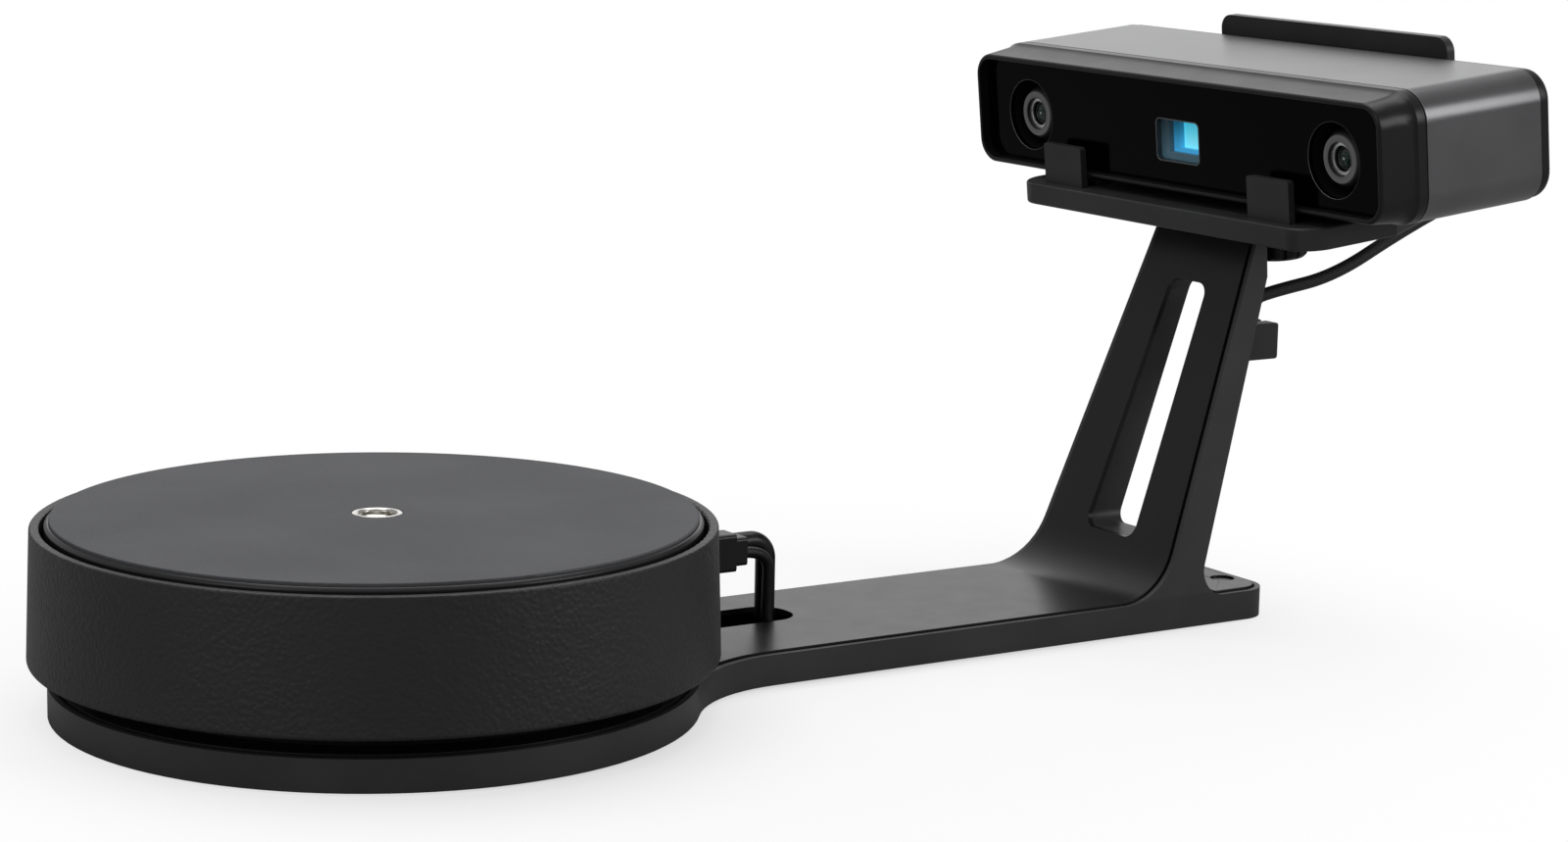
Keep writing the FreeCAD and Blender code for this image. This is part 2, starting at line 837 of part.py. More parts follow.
def wall_crossing():
    """Middle and heading of the lead's straight part through the arm's rear wall."""
    points = head_lead_points()
    i = len(points) - 4
    along = points[i + 1] - points[i]
    start = bend_reach(points, i)
    end = along.Length - bend_reach(points, i + 1)
    heading = V(along).normalize()
    return points[i] + heading * ((start + end) / 2), heading


def make_stand():
    side = from_side(
        [(left_x, foot_height), (right_x, foot_height), (right_x, base_top_z), (arm_rear_foot_x, base_top_z),
         (top_rear.x, top_rear.z), (top_front.x, top_front.z), (arm_front_foot_x, base_top_z),
         (left_x, base_top_z)],
        [0, 0, 0, arm_rear_fillet, 0, 0, arm_front_fillet, 0])
    outer = side.common(stand_core(0))
    ceiling = top_front.z - arm_top_block
    hollow = from_side(
        [(left_x, floor_top_z), (rear_x(floor_top_z, arm_rear_wall), floor_top_z),
         (rear_x(ceiling, arm_rear_wall), ceiling), (left_x, ceiling)], 0)
    under_flange = block(arm_front_foot_x, right_x, -wide_y, wide_y, floor_top_z, skin_under_z)
    hollow = hollow.fuse(under_flange).common(stand_core(stand_wall + stand_ledge))
    skin_depth = skin_thickness - skin_rise
    pocket = skin_band(-overrun, skin_depth, 0)
    skin_pocket = pocket.common(stand_core(stand_wall))
    cover_pocket = block(flange_cover_x, right_x, -wide_y, wide_y, skin_under_z, base_top_z + overrun)
    cover_pocket = cover_pocket.common(stand_outline(stand_wall, -overrun, high_z))
    body = outer.cut(hollow).cut(skin_pocket).cut(cover_pocket)
    posts = [post(x, y, floor_top_z - fit_gap, skin_under_z, post_radius)
             for x, y in skin_screw_places + drum_screw_places]
    collar = arm_slot(slot_wall).common(outer).cut(pocket)
    body = body.multiFuse(posts + [collar])
    cuts = [arm_slot(0)]
    for x, y in skin_screw_places + drum_screw_places:
        cuts.append(post(x, y, foot_height - overrun, skin_under_z + overrun, screw_hole_radius))
        cuts.append(post(x, y, foot_height - overrun, foot_height + screw_head_height + fit_gap,
                         screw_head_radius + fit_gap))
    middle, heading = wall_crossing()
    cuts.append(Part.makeCylinder(head_lead_radius + grommet_gap + grommet_wall + fit_gap, grommet_length * 2,
                                  middle - heading * grommet_length, heading))
    cuts += rear_socket_bodies(fit_gap, junction_end_x + overrun, right_x)
    for side_sign in (-1, 1):
        seat = head_point(cradle_screw_depth, side_sign * cradle_screw_side, cradle_bottom)
        cuts.append(Part.makeCylinder(screw_hole_radius, cradle_screw_grip + overrun, seat, head_up * -1))
    cuts.append(peg(rear_x(clip_middle_z) - arm_rear_wall * 2, rear_x(clip_middle_z) + overrun,
                    clip_screw_y, clip_middle_z, screw_hole_radius))
    for cut in cuts:
        body = body.cut(cut)
    keep("stand_body", body.removeSplitter())

    skin = skin_band(-skin_rise, skin_depth, running_gap).common(stand_core(stand_wall + skin_groove))
    skin = skin.cut(arm_slot(0)).cut(lead_slot(0, skin_top_z + overrun))
    bite = skin_thickness * screw_bite_share
    for x, y in skin_screw_places:
        skin = skin.cut(post(x, y, skin_under_z - overrun, skin_under_z + bite + fit_gap, screw_hole_radius))
    for x, y in drum_screw_places:
        skin = skin.cut(post(x, y, skin_under_z - overrun, skin_top_z + overrun, screw_hole_radius))
    keep("stand_skin", skin.removeSplitter())

    cover = block(flange_cover_x + running_gap, right_x, -wide_y, wide_y, skin_under_z, skin_top_z)
    cover = cover.common(stand_outline(stand_wall + skin_groove, -overrun, high_z))
    plugs = []
    plug_top = skin_top_z - recess_depth
    plug_low = plug_top - recess_plug_height
    plug_radius = recess_radius - fit_gap
    for side_sign in (-1, 1):
        y = side_sign * recess_side
        cover = cover.cut(post(recess_x, y, skin_under_z - overrun, skin_top_z + overrun, recess_radius))
        plugs.append(lathe([(0, plug_low), (recess_radius + recess_plug_lip, plug_low),
                            (recess_radius + recess_plug_lip, skin_under_z), (plug_radius, skin_under_z),
                            (plug_radius, plug_top), (0, plug_top)], recess_x, y))
    keep("rear_flange_cover", cover.removeSplitter())
    keep("flange_recess_plugs", *plugs)
    keep("rubber_feet", *[post(x, y, 0, foot_height, foot_radius) for x, y in foot_places])
    keep("skin_screws", *[screw_up(x, y, foot_height, skin_under_z + bite) for x, y in skin_screw_places])


def board_chips(x0, length, half_width, top, shares):
    """Low blocks on a board. Each share is a middle along, a middle across, and two half sizes."""
    chips = []
    for along, across, half_along, half_across in shares:
        x = x0 + length * along
        y = half_width * across
        chips.append(block(x - length * half_along, x + length * half_along, y - half_width * half_across,
                           y + half_width * half_across, top - fit_gap, top + chip_height))
    return chips


def make_junction():
    """Board in the arm's foot: the leads meet here, and the sockets for the outside are at the back."""
    parts = [block(junction_start_x, junction_end_x, -junction_half_width, junction_half_width, junction_z,
                   junction_top_z)]
    for x in (junction_start_x + junction_post_inset, junction_end_x - junction_post_inset):
        for side in (-1, 1):
            y = side * (junction_half_width - junction_post_inset)
            parts.append(post(x, y, floor_top_z, junction_z + fit_gap, standoff_radius))
    parts += board_chips(junction_start_x, junction_length, junction_half_width, junction_top_z,
                         junction_chip_shares)
    parts.append(block(lead_block_x, junction_start_x + fit_gap, lead_block_side - lead_block_half_width,
                       lead_block_side + lead_block_half_width, floor_top_z, skin_under_z - running_gap))
    half = header_size / 2
    parts.append(block(header_x - half, header_x + half, head_lead_side - half, head_lead_side + half,
                       junction_top_z - fit_gap, junction_top_z + header_height))
    keep("junction_board", join(parts))
    mouth_x = stand_end_x - running_gap
    floor_x = mouth_x - rear_socket_depth
    sockets = rear_socket_bodies(0, junction_end_x, mouth_x)
    cavities = rear_socket_bodies(-rear_socket_wall, floor_x, mouth_x + overrun)
    reach = rear_data_width * rear_tongue_share / 2
    thick = rear_tongue_thickness / 2
    tongue = block(floor_x - fit_gap, mouth_x - overrun, rear_socket_side - reach, rear_socket_side + reach,
                   rear_socket_z - thick, rear_socket_z + thick)
    pin = peg(floor_x - fit_gap, mouth_x - overrun, -rear_socket_side, rear_socket_z, rear_pin_radius)
    filled = [socket.cut(cavity).fuse(contact).removeSplitter()
              for socket, cavity, contact in zip(sockets, cavities, (tongue, pin))]
    keep("rear_sockets", *filled)


def bridge_places(start_x, near_places, far_places):
    """A lead's places through the bridge, and the last one at the face of the lead block."""
    places = [V(start_x + x, y, z) for x, y, z in near_places]
    places += [V(lead_block_x + x, y, z) for x, y, z in far_places]
    return places + [V(lead_block_x, places[-1].y, bridge_lead_z)]


def make_leads():
    lead_z = plug_rise - data_lead_drop
    start = V(data_plug_end_x, data_plug_side, lead_z)
    route = [start, start + V(data_lead_reach, 0, 0)]
    route += bridge_places(data_plug_end_x, data_lead_near_places, data_lead_far_places)
    keep("data_lead", tube(route, data_lead_radius, "data_lead"))
    route = [V(power_lead_x, power_plug_side, power_lead_start_z),
             V(power_lead_x, power_plug_side, bridge_lead_z)]
    route += bridge_places(power_lead_x, power_lead_near_places, power_lead_far_places)
    keep("power_lead", tube(route, power_lead_radius, "power_lead"))
    keep("head_lead", tube(head_lead_points(), head_lead_radius, "head_lead"))
    middle, heading = wall_crossing()
    bore = head_lead_radius + grommet_gap
    ring = Part.makeCylinder(bore + grommet_wall, grommet_length, middle - heading * (grommet_length / 2), heading)
    keep("lead_grommet", ring.cut(Part.makeCylinder(bore, grommet_length * 2, middle - heading * grommet_length,
                                                    heading)))


def make_cable_clip():
    """A block behind the arm with an open groove that holds the head's lead."""
    points = [V(rear_x(clip_bottom_z), clip_near_y, clip_bottom_z), V(clip_end_x, clip_near_y, clip_bottom_z),
              V(clip_end_x, clip_near_y, clip_top_z), V(rear_x(clip_top_z), clip_near_y, clip_top_z)]
    body = slab(points, [0, clip_corner, clip_corner, 0], V(0, clip_far_y - clip_near_y, 0))
    low = V(rear_x(clip_bottom_z - overrun) + head_lead_offset, head_lead_side, clip_bottom_z - overrun)
    high = V(rear_x(clip_top_z + overrun) + head_lead_offset, head_lead_side, clip_top_z + overrun)
    body = body.cut(Part.makeCylinder(head_lead_radius + running_gap, (high - low).Length, low, high - low))
    body = body.cut(block(low.x, clip_end_x + overrun, head_lead_side - clip_mouth / 2,
                          head_lead_side + clip_mouth / 2, clip_bottom_z - overrun, clip_top_z + overrun))
    body = body.cut(peg(rear_x(clip_bottom_z) - overrun, clip_end_x + overrun, clip_screw_y, clip_middle_z,
                        screw_hole_radius))
    keep("cable_clip", body.removeSplitter())
    shank = peg(rear_x(clip_middle_z) - arm_rear_wall, clip_end_x + fit_gap, clip_screw_y, clip_middle_z,
                screw_radius)
    cap = peg(clip_end_x, clip_end_x + screw_head_height, clip_screw_y, clip_middle_z,
              screw_radius * clip_screw_head_share)
    keep("clip_screw", shank.fuse(cap).removeSplitter())


# Turntable

board_posts = []
for board_x in (turntable_board_start + turntable_board_inset, turntable_board_end - turntable_board_inset):
    for side in (-1, 1):
        board_posts.append((board_x, side * (turntable_board_width / 2 - turntable_board_inset)))
ledge_screw_places = around(ledge_screw_count, ledge_screw_circle)
motor_inner_x = motor_size / 2 - gear_distance
bracket_leg_x = motor_inner_x + running_gap
bracket_foot_x = bracket_leg_x + (bracket_foot_length + bracket_thickness) / 2
bracket_foot_places = [(bracket_foot_x, side * motor_size / 4) for side in (-1, 1)]
motor_screw_reach = motor_size / 2 - motor_screw_inset
motor_screw_places = [(a * motor_screw_reach - gear_distance, b * motor_screw_reach) for a in (-1, 1)
                      for b in (-1, 1)]
power_plug_rise = plug_rise - power_plug_drop
plug_sizes = ((data_plug_side, data_plug_width, data_plug_height, plug_rise),
              (power_plug_side, power_plug_width, power_plug_height, power_plug_rise))


def make_drum():
    ledge_top = floor_disc_top + drum_ledge_thickness
    ledge_in = wall_inner_low - drum_ledge_width
    outline = [
        V(wall_inner_low, 0, drum_bottom_z), V(drum_bottom_radius, 0, drum_bottom_z),
        V(drum_rim_radius, 0, drum_rim_z), V(wall_inner_high, 0, drum_rim_z),
        V(wall_inner_low - fit_gap, 0, ledge_top), V(ledge_in, 0, ledge_top),
        V(ledge_in, 0, floor_disc_top), V(wall_inner_low, 0, floor_disc_top)]
    radii = [0, drum_foot_rounding, drum_rim_rounding, drum_rim_rounding, 0, 0, 0, 0]
    shell = Part.Face(Part.Wire(rounded_edges(outline, radii))).revolve(V(0, 0, 0), V(0, 0, 1), 360)
    for y, width, height, rise in plug_sizes:
        shrink = plug_nose_inset - running_gap
        shell = shell.cut(upright(socket_start_x, drum_bottom_radius + overrun, width / 2 - shrink,
                                  height / 2 - shrink, plug_corner / 2, y, rise))
    for x, y in ledge_screw_places:
        shell = shell.cut(post(x, y, floor_disc_top - overrun, ledge_top + overrun, screw_hole_radius))
    keep("drum_shell", shell)

    disc = post(0, 0, floor_disc_z, floor_disc_top, wall_inner_low - running_gap)
    neck = pipe(0, 0, skin_top_z, floor_disc_z + fit_gap, neck_radius, neck_radius - neck_wall)
    boss = pipe(0, 0, floor_disc_top - fit_gap, bearing_top, boss_radius, boss_bore)
    shelf = pipe(0, 0, floor_disc_top - fit_gap, bearing_bottom, boss_radius, outer_ring_radius - bearing_wall / 2)
    parts = [disc, neck, boss, shelf]
    parts += [post(x, y, skin_top_z, floor_disc_z + fit_gap, drum_boss_radius) for x, y in drum_screw_places]
    parts += [post(x, y, floor_disc_top - fit_gap, board_top_z - board_thickness, standoff_radius)
              for x, y in board_posts]
    floor = join(parts)
    for x, y in drum_screw_places:
        floor = floor.cut(post(x, y, skin_top_z - overrun, floor_disc_z, screw_hole_radius))
    for x, y in ledge_screw_places + bracket_foot_places:
        floor = floor.cut(post(x, y, floor_disc_z - overrun, floor_disc_top + overrun, screw_hole_radius))
    keep("drum_floor", floor.removeSplitter())
    screws = [screw_up(x, y, foot_height, floor_disc_z - fit_gap) for x, y in drum_screw_places]
    screws += [screw_up(x, y, floor_disc_z - screw_head_height, floor_disc_top + drum_ledge_thickness)
               for x, y in ledge_screw_places]
    keep("drum_screws", *screws)


def make_platter():
    bore = insert_radius + fit_gap
    edge = platter_radius
    plate = lathe([(bore, platter_bottom), (edge, platter_bottom), (edge, platter_top - platter_bevel),
                   (edge - platter_bevel, platter_top), (bore, platter_top)])
    ribs = []
    for i in range(platter_rib_count):
        rib = block(ring_gear_tip + overrun, edge - overrun, -platter_rib_width / 2, platter_rib_width / 2,
                    platter_bottom - platter_rib_depth, platter_bottom + fit_gap)
        rib.rotate(V(0, 0, 0), V(0, 0, 1), 360.0 * (i + 0.5) / platter_rib_count)
        ribs.append(rib)
    keep("platter", plate.multiFuse(ribs).removeSplitter())
    mat_edge = edge - mat_inset
    outline = [V(bore, 0, platter_top), V(mat_edge, 0, platter_top), V(mat_edge, 0, mat_top), V(bore, 0, mat_top)]
    wire = Part.Wire(rounded_edges(outline, [0, 0, mat_rounding, 0]))
    keep("platter_mat", Part.Face(wire).revolve(V(0, 0, 0), V(0, 0, 1), 360))
    edge_cut = insert_chamfer / 2
    keep("threaded_insert", lathe([
        (insert_thread_radius, insert_bottom), (insert_radius, insert_bottom), (insert_radius, mat_top - edge_cut),
        (insert_radius - edge_cut, mat_top), (insert_thread_radius + insert_chamfer, mat_top),
        (insert_thread_radius, mat_top - insert_chamfer)]))

    clip_z = bearing_bottom - circlip_thickness - fit_gap
    groove = hub_radius - circlip_groove_depth
    shoulder = hub_radius + bearing_wall / 2
    keep("platter_hub", lathe([
        (0, hub_bottom), (groove, hub_bottom), (hub_radius, hub_bottom + circlip_groove_depth),
        (hub_radius, clip_z), (groove, clip_z), (groove, bearing_bottom), (hub_radius, bearing_bottom),
        (hub_radius, bearing_top), (shoulder, bearing_top), (shoulder, hub_shaft_top),
        (hub_flange_radius, hub_shaft_top), (hub_flange_radius, platter_bottom), (bore, platter_bottom),
        (bore, insert_bottom), (0, insert_bottom)]))
    clip = pipe(0, 0, clip_z + fit_gap / 2, bearing_bottom - fit_gap / 2, hub_radius + circlip_width,
                groove + fit_gap)
    half_mouth = groove * circlip_mouth_share
    keep("hub_circlip", clip.cut(block(0, hub_radius + circlip_width + overrun, -half_mouth, half_mouth,
                                       clip_z - overrun, bearing_bottom + overrun)))

    race = Part.makeTorus(ball_circle, bearing_ball_radius + bearing_groove_gap, V(0, 0, bearing_middle))
    lip = bearing_ball_radius * bearing_lip_share
    inner = pipe(0, 0, bearing_bottom, bearing_top, inner_ring_radius + lip, hub_radius + fit_gap)
    outer = pipe(0, 0, bearing_bottom, bearing_top, outer_ring_radius, outer_ring_bore - lip)
    keep("bearing_inner_ring", inner.cut(race))
    keep("bearing_outer_ring", outer.cut(race))
    keep("bearing_balls", *[Part.makeSphere(bearing_ball_radius, V(x, y, bearing_middle))
                            for x, y in around(bearing_ball_count, ball_circle)])


def involute(angle):
    return math.tan(angle) - angle


def gear(teeth, z0, z1, bore, turn):
    """A spur gear. Each flank is the arc through three points of its involute."""
    pitch = gear_module * teeth / 2
    base = pitch * math.cos(math.radians(pressure_angle))
    tip = pitch + gear_module * addendum_share
    root = pitch - gear_module * dedendum_share
    start = max(base, root)
    half_at_pitch = math.pi / (2 * teeth) - tooth_backlash / (4 * pitch)

    def half_angle(radius):
        here = math.acos(min(1.0, base / radius))
        return half_at_pitch + involute(math.radians(pressure_angle)) - involute(here)

    def at(radius, angle):
        return V(radius * math.cos(angle), radius * math.sin(angle), z0)

    edges = []
    previous = None
    first = None
    flank = (start, (start + tip) / 2, tip)
    for i in range(teeth):
        centre = turn + 2 * math.pi * i / teeth
        low = [at(radius, centre - half_angle(radius)) for radius in flank]
        high = [at(radius, centre + half_angle(radius)) for radius in reversed(flank)]
        low_root = low[0]
        high_root = high[2]
        if root < base:
            low_root = at(root, centre - half_angle(start))
            high_root = at(root, centre + half_angle(start))
        if previous is None:
            first = low_root
        else:
            edges.append(Part.LineSegment(previous, low_root).toShape())
        if root < base:
            edges.append(Part.LineSegment(low_root, low[0]).toShape())
        edges.append(Part.Arc(*low).toShape())
        edges.append(Part.LineSegment(low[2], high[0]).toShape())
        edges.append(Part.Arc(*high).toShape())
        if root < base:
            edges.append(Part.LineSegment(high[2], high_root).toShape())
        previous = high_root
    edges.append(Part.LineSegment(previous, first).toShape())
    wheel = Part.Face(Part.Wire(edges)).extrude(V(0, 0, z1 - z0))
    return wheel.cut(post(0, 0, z0 - overrun, z1 + overrun, bore))


def screw_down(x, y, z, depth):
    """A screw of the motor: its head stands on z and its shank goes down."""
    shank = post(x, y, z - depth, z + fit_gap, screw_radius)
    return shank.fuse(post(x, y, z, z + screw_radius, screw_radius * motor_screw_head_share)).removeSplitter()


def make_drive():
    keep("ring_gear", gear(ring_gear_teeth, ring_gear_z, platter_bottom, ring_gear_root - ring_gear_web, 0))
    bore = motor_shaft_radius + fit_gap
    pinion = gear(pinion_teeth, ring_gear_z, pinion_top, bore, math.pi / pinion_teeth)
    hub = pipe(0, 0, ring_gear_z - pinion_hub_height, ring_gear_z + fit_gap, pinion_hub_radius, bore)
    pinion = pinion.fuse(hub).removeSplitter()
    pinion.translate(V(-gear_distance, 0, 0))
    keep("drive_pinion", pinion)
    keep("motor_shaft", post(-gear_distance, 0, shaft_bottom, pinion_top - running_gap, motor_shaft_radius))

    half = motor_size / 2
    outer_x = -gear_distance - half
    points = [V(outer_x, -half, motor_bottom), V(motor_inner_x, -half, motor_bottom),
              V(motor_inner_x, half, motor_bottom), V(outer_x, half, motor_bottom)]
    motor = slab(points, motor_corner, V(0, 0, motor_top - motor_bottom))
    motor = motor.fuse(post(-gear_distance, 0, motor_top - fit_gap, motor_top + motor_boss_height,
                            motor_boss_radius))
    motor = motor.cut(post(-gear_distance, 0, shaft_bottom - running_gap, bracket_top + overrun,
                           motor_shaft_radius + shaft_gap))
    for x, y in motor_screw_places:
        motor = motor.cut(post(x, y, motor_top - motor_screw_depth - running_gap, bracket_top, screw_hole_radius))
    keep("stepper_motor", motor.removeSplitter())

    leg_end = bracket_leg_x + bracket_thickness
    foot_top = floor_disc_top + bracket_thickness
    bracket = join([block(outer_x, leg_end, -half, half, motor_top, bracket_top),
                    block(bracket_leg_x, leg_end, -half, half, floor_disc_top, bracket_top),
                    block(bracket_leg_x, bracket_leg_x + bracket_foot_length, -half, half, floor_disc_top,
                          foot_top)])
    bracket = bracket.cut(post(-gear_distance, 0, motor_top - overrun, bracket_top + overrun,
                               motor_boss_radius + running_gap))
    for x, y in motor_screw_places:
        bracket = bracket.cut(post(x, y, motor_top - overrun, bracket_top + overrun, screw_hole_radius))
    for x, y in bracket_foot_places:
        bracket = bracket.cut(post(x, y, floor_disc_top - overrun, foot_top + overrun, screw_hole_radius))
    keep("motor_bracket", bracket.removeSplitter())
    screws = [screw_down(x, y, bracket_top, bracket_thickness + motor_screw_depth) for x, y in motor_screw_places]
    screws += [screw_down(x, y, foot_top, bracket_thickness + floor_disc_thickness)
               for x, y in bracket_foot_places]
    keep("motor_screws", *screws)


def make_turntable_board():
    half = turntable_board_width / 2
    board = block(turntable_board_start, turntable_board_end, -half, half, board_top_z - board_thickness,
                  board_top_z)
    chips = board_chips(turntable_board_start, turntable_board_length, half, board_top_z, turntable_chip_shares)
    keep("turntable_board", join([board] + chips))
    sockets = []
    for y, width, height, rise in plug_sizes:
        body = block(socket_start_x, socket_end_x, y - width / 2 + fit_gap, y + width / 2 - fit_gap, board_top_z,
                     board_top_z + data_plug_height)
        shrink = plug_nose_inset - shaft_gap
        sockets.append(body.cut(upright(socket_start_x + socket_wall, socket_end_x + overrun, width / 2 - shrink,
                                        height / 2 - shrink, plug_corner / 2, y, rise)))
    keep("drum_sockets", *sockets)


def plug_nose(y, width, height, rise):
    shrink = plug_nose_inset + fit_gap
    return upright(socket_end_x - plug_nose_length, plug_start_x + fit_gap, width / 2 - shrink,
                   height / 2 - shrink, plug_corner / 2, y, rise)


def make_plugs():
    step_x = plug_start_x + data_plug_length
    main = upright(plug_start_x, step_x, data_plug_width / 2, data_plug_height / 2, plug_corner, data_plug_side,
                   plug_rise)
    tail = upright(step_x - fit_gap, data_plug_end_x, data_plug_width / 2 - data_plug_step / 2,
                   data_plug_height / 2 - data_plug_step, plug_corner, data_plug_side, plug_rise)
    keep("data_plug", join([main, tail, plug_nose(*plug_sizes[0])]))
    main = upright(plug_start_x, power_plug_end_x, power_plug_width / 2, power_plug_height / 2,
                   power_plug_corner, power_plug_side, power_plug_rise)
    axis_z = power_plug_rise + power_boot_rise
    route = [V(power_plug_end_x - overrun, power_plug_side, axis_z), V(power_lead_x, power_plug_side, axis_z),
             V(power_lead_x, power_plug_side, power_boot_end_z)]
    path = Part.Wire(rounded_edges(route, [0, power_boot_bend, 0], closed=False))
    ring = Part.Wire([Part.makeCircle(power_boot_radius, route[0], V(1, 0, 0))])
    boot = path.makePipeShell([ring], True, False)
    bore = post(power_lead_x, power_plug_side, power_boot_end_z - overrun, power_lead_start_z,
                power_lead_radius + fit_gap)
    keep("power_plug", join([main, boot, plug_nose(*plug_sizes[1])]).cut(bore))


# Scan head

def head_bar(d0, d1, half_width, half_height, corner, inset):
    """A bar with the head's rounded section between two depths."""
    return upright(d0, d1, half_width - inset, half_height - inset, corner - inset)


def rim_bar(d0, d1, inset):
    return head_bar(d0, d1, rim_half_width, rim_half_height, rim_corner, inset)


def seam_bar(d0, d1, inset):
    return head_bar(d0, d1, seam_half_width, seam_half_height, seam_corner, inset)


def rim_section(depth, grow):
    points = oblong(depth, rim_half_width + grow, rim_half_height + grow)
    return Part.Wire(rounded_edges(points, [rim_corner + grow] * 4))


cap_screw_places = [(side * (seam_half_width - cap_screw_side_inset),
                     rise * (seam_half_height - cap_screw_rise_inset)) for side in (-1, 1) for rise in (-1, 1)]
spigot_inset = shell_wall + fit_gap * 2


def make_head():
    outer = Part.makeLoft([rim_section(0, -rim_chamfer), rim_section(rim_chamfer, 0),
                           rim_section(bezel_flare_depth, bezel_flare), rim_section(bezel_step_depth, seam_growth),
                           rim_section(bezel_depth, seam_growth)], True, True)
    spigot_end = bezel_depth + spigot_depth
    bezel = outer.fuse(seam_bar(bezel_depth - fit_gap, spigot_end, spigot_inset))
    bezel = bezel.cut(rim_bar(-overrun, window_recess + fit_gap, rim_width))
    bezel = bezel.cut(rim_bar(window_recess, spigot_end + overrun, window_ledge))
    keep("front_bezel", to_head(bezel.removeSplitter()))

    pane = rim_bar(window_recess, pane_back, window_ledge + fit_gap * 2)
    for side in (-1, 1):
        pane = pane.cut(peg(window_recess - overrun, pane_back + overrun, side * camera_side, camera_rise,
                            aperture_radius))
    pane = pane.cut(upright(window_recess - overrun, pane_back + overrun, projector_width / 2,
                            projector_height / 2, projector_corner, projector_side, projector_rise))
    keep("front_window", to_head(pane))

    shell = seam_bar(shell_start, shell_end, 0).cut(seam_bar(shell_start - overrun, shell_end + overrun,
                                                             shell_wall))
    keep("head_shell", to_head(shell))

    cap = seam_bar(cap_start, cap_end, cap_inset)
    rear_edges = [edge for edge in cap.Edges if edge.BoundBox.XMin > cap_end - fit_gap]
    cap = cap.makeFillet(cap_rounding, rear_edges)
    cap = cap.fuse(seam_bar(cap_front, cap_start + fit_gap, spigot_inset))
    cap = cap.cut(seam_bar(cap_front - overrun, cap_end - cap_wall, shell_wall + cap_lip_wall))
    cap = cap.cut(peg(shell_end, cap_end + overrun, gland_side, 0, gland_neck_radius + fit_gap))
    seat = cap_end - screw_head_height / 2
    for y, z in cap_screw_places:
        cap = cap.cut(peg(cap_front - overrun, cap_end + overrun, y, z, screw_hole_radius))
        cap = cap.cut(peg(seat, cap_end + overrun, y, z, screw_head_radius + fit_gap))
    for side in (-1, 1):
        for i in range(vent_count):
            y = side * vent_side + (i - (vent_count - 1) / 2) * vent_pitch
            cap = cap.cut(upright(shell_end, cap_end + overrun, vent_width / 2, vent_height / 2, vent_corner, y))
    keep("rear_cap", to_head(cap.removeSplitter()))
    screws = []
    for y, z in cap_screw_places:
        screw = peg(cap_end - cap_screw_length, seat + fit_gap, y, z, screw_radius)
        screw = screw.fuse(peg(seat, cap_end, y, z, screw_head_radius))
        screw = screw.cut(peg(cap_end - screw_head_height / 4, cap_end + overrun, y, z,
                              screw_radius * screw_drive_share))
        screws.append(to_head(screw.removeSplitter()))
    keep("cap_screws", *screws)

    bore = head_lead_radius + grommet_gap
    inside = cap_end - cap_wall - gland_step
    mouth = head_lead_radius - gland_lip
    gland = lathe_ahead([(inside, bore), (inside, gland_neck_radius), (cap_end, gland_neck_radius),
                         (cap_end, gland_radius), (cap_end + gland_step * 2, gland_radius),
                         (gland_tip_depth, gland_tip_radius), (gland_tip_depth, mouth),
                         (gland_tip_depth - gland_step, mouth), (gland_tip_depth - gland_step, bore)],
                        gland_side, 0)
    keep("head_gland", to_head(gland))


def make_cameras():
    """Two cameras: a dark hood behind the window, a stepped barrel, a bright ring and the front glass."""
    hoods = []
    barrels = []
    rings = []
    glasses = []
    boards = []
    front = pane_back + barrel_setback
    hood_end = pane_back + hood_depth
    flank_start = front + barrel_nose_length
    flank_end = flank_start + barrel_flank_length
    ring_front = front + ring_recess
    lens_seat = ring_front + ring_length
    lens_back = lens_seat + glass_thickness
    nose = [(front + barrel_nose_length * along, barrel_radius * out) for along, out in barrel_nose_shares]
    dome_radius = (glass_radius ** 2 + glass_dome ** 2) / (2 * glass_dome)
    for side in (-1, 1):
        y = side * camera_side
        hoods.append(to_head(lathe_ahead([
            (pane_back, aperture_radius + fit_gap), (pane_back, aperture_radius + hood_wall),
            (hood_end, aperture_radius + hood_wall), (hood_end, hood_throat_radius),
            (hood_end - hood_wall, hood_throat_radius)], y, camera_rise)))
        barrels.append(to_head(lathe_ahead(
            [(front, ring_radius + fit_gap)] + nose + [
                (flank_start + ring_recess, barrel_radius), (flank_end, barrel_radius),
                (flank_end, barrel_tail_radius), (rail_back, barrel_tail_radius), (rail_back, 0),
                (lens_back, 0), (lens_back, ring_radius + fit_gap)], y, camera_rise)))
        rings.append(to_head(lathe_ahead([
            (ring_front, ring_radius), (ring_front, ring_radius * ring_edge_share),
            (ring_front + ring_recess, ring_bore_radius * ring_mouth_share), (lens_seat, ring_bore_radius),
            (lens_seat, ring_radius)], y, camera_rise)))
        ball = Part.makeSphere(dome_radius, V(lens_seat - glass_dome + dome_radius, y, camera_rise))
        dome = ball.common(peg(lens_seat - glass_dome * 2, lens_seat + fit_gap, y, camera_rise, glass_radius))
        seat = peg(lens_seat, lens_back - fit_gap, y, camera_rise, ring_radius)
        glasses.append(to_head(dome.fuse(seat).removeSplitter()))
        board = upright(rail_back, rail_back + board_thickness, camera_board_half, camera_board_half,
                        rim_chamfer, y, camera_rise)
        chip = upright(rail_back + board_thickness - fit_gap, rail_back + board_thickness + chip_height,
                       camera_chip_half, camera_chip_half, rim_chamfer, y, camera_rise)
        boards.append(to_head(board.fuse(chip).removeSplitter()))
    keep("camera_hoods", *hoods)
    keep("camera_barrels", *barrels)
    keep("camera_rings", *rings)
    keep("camera_glasses", *glasses)
    keep("camera_boards", *boards)


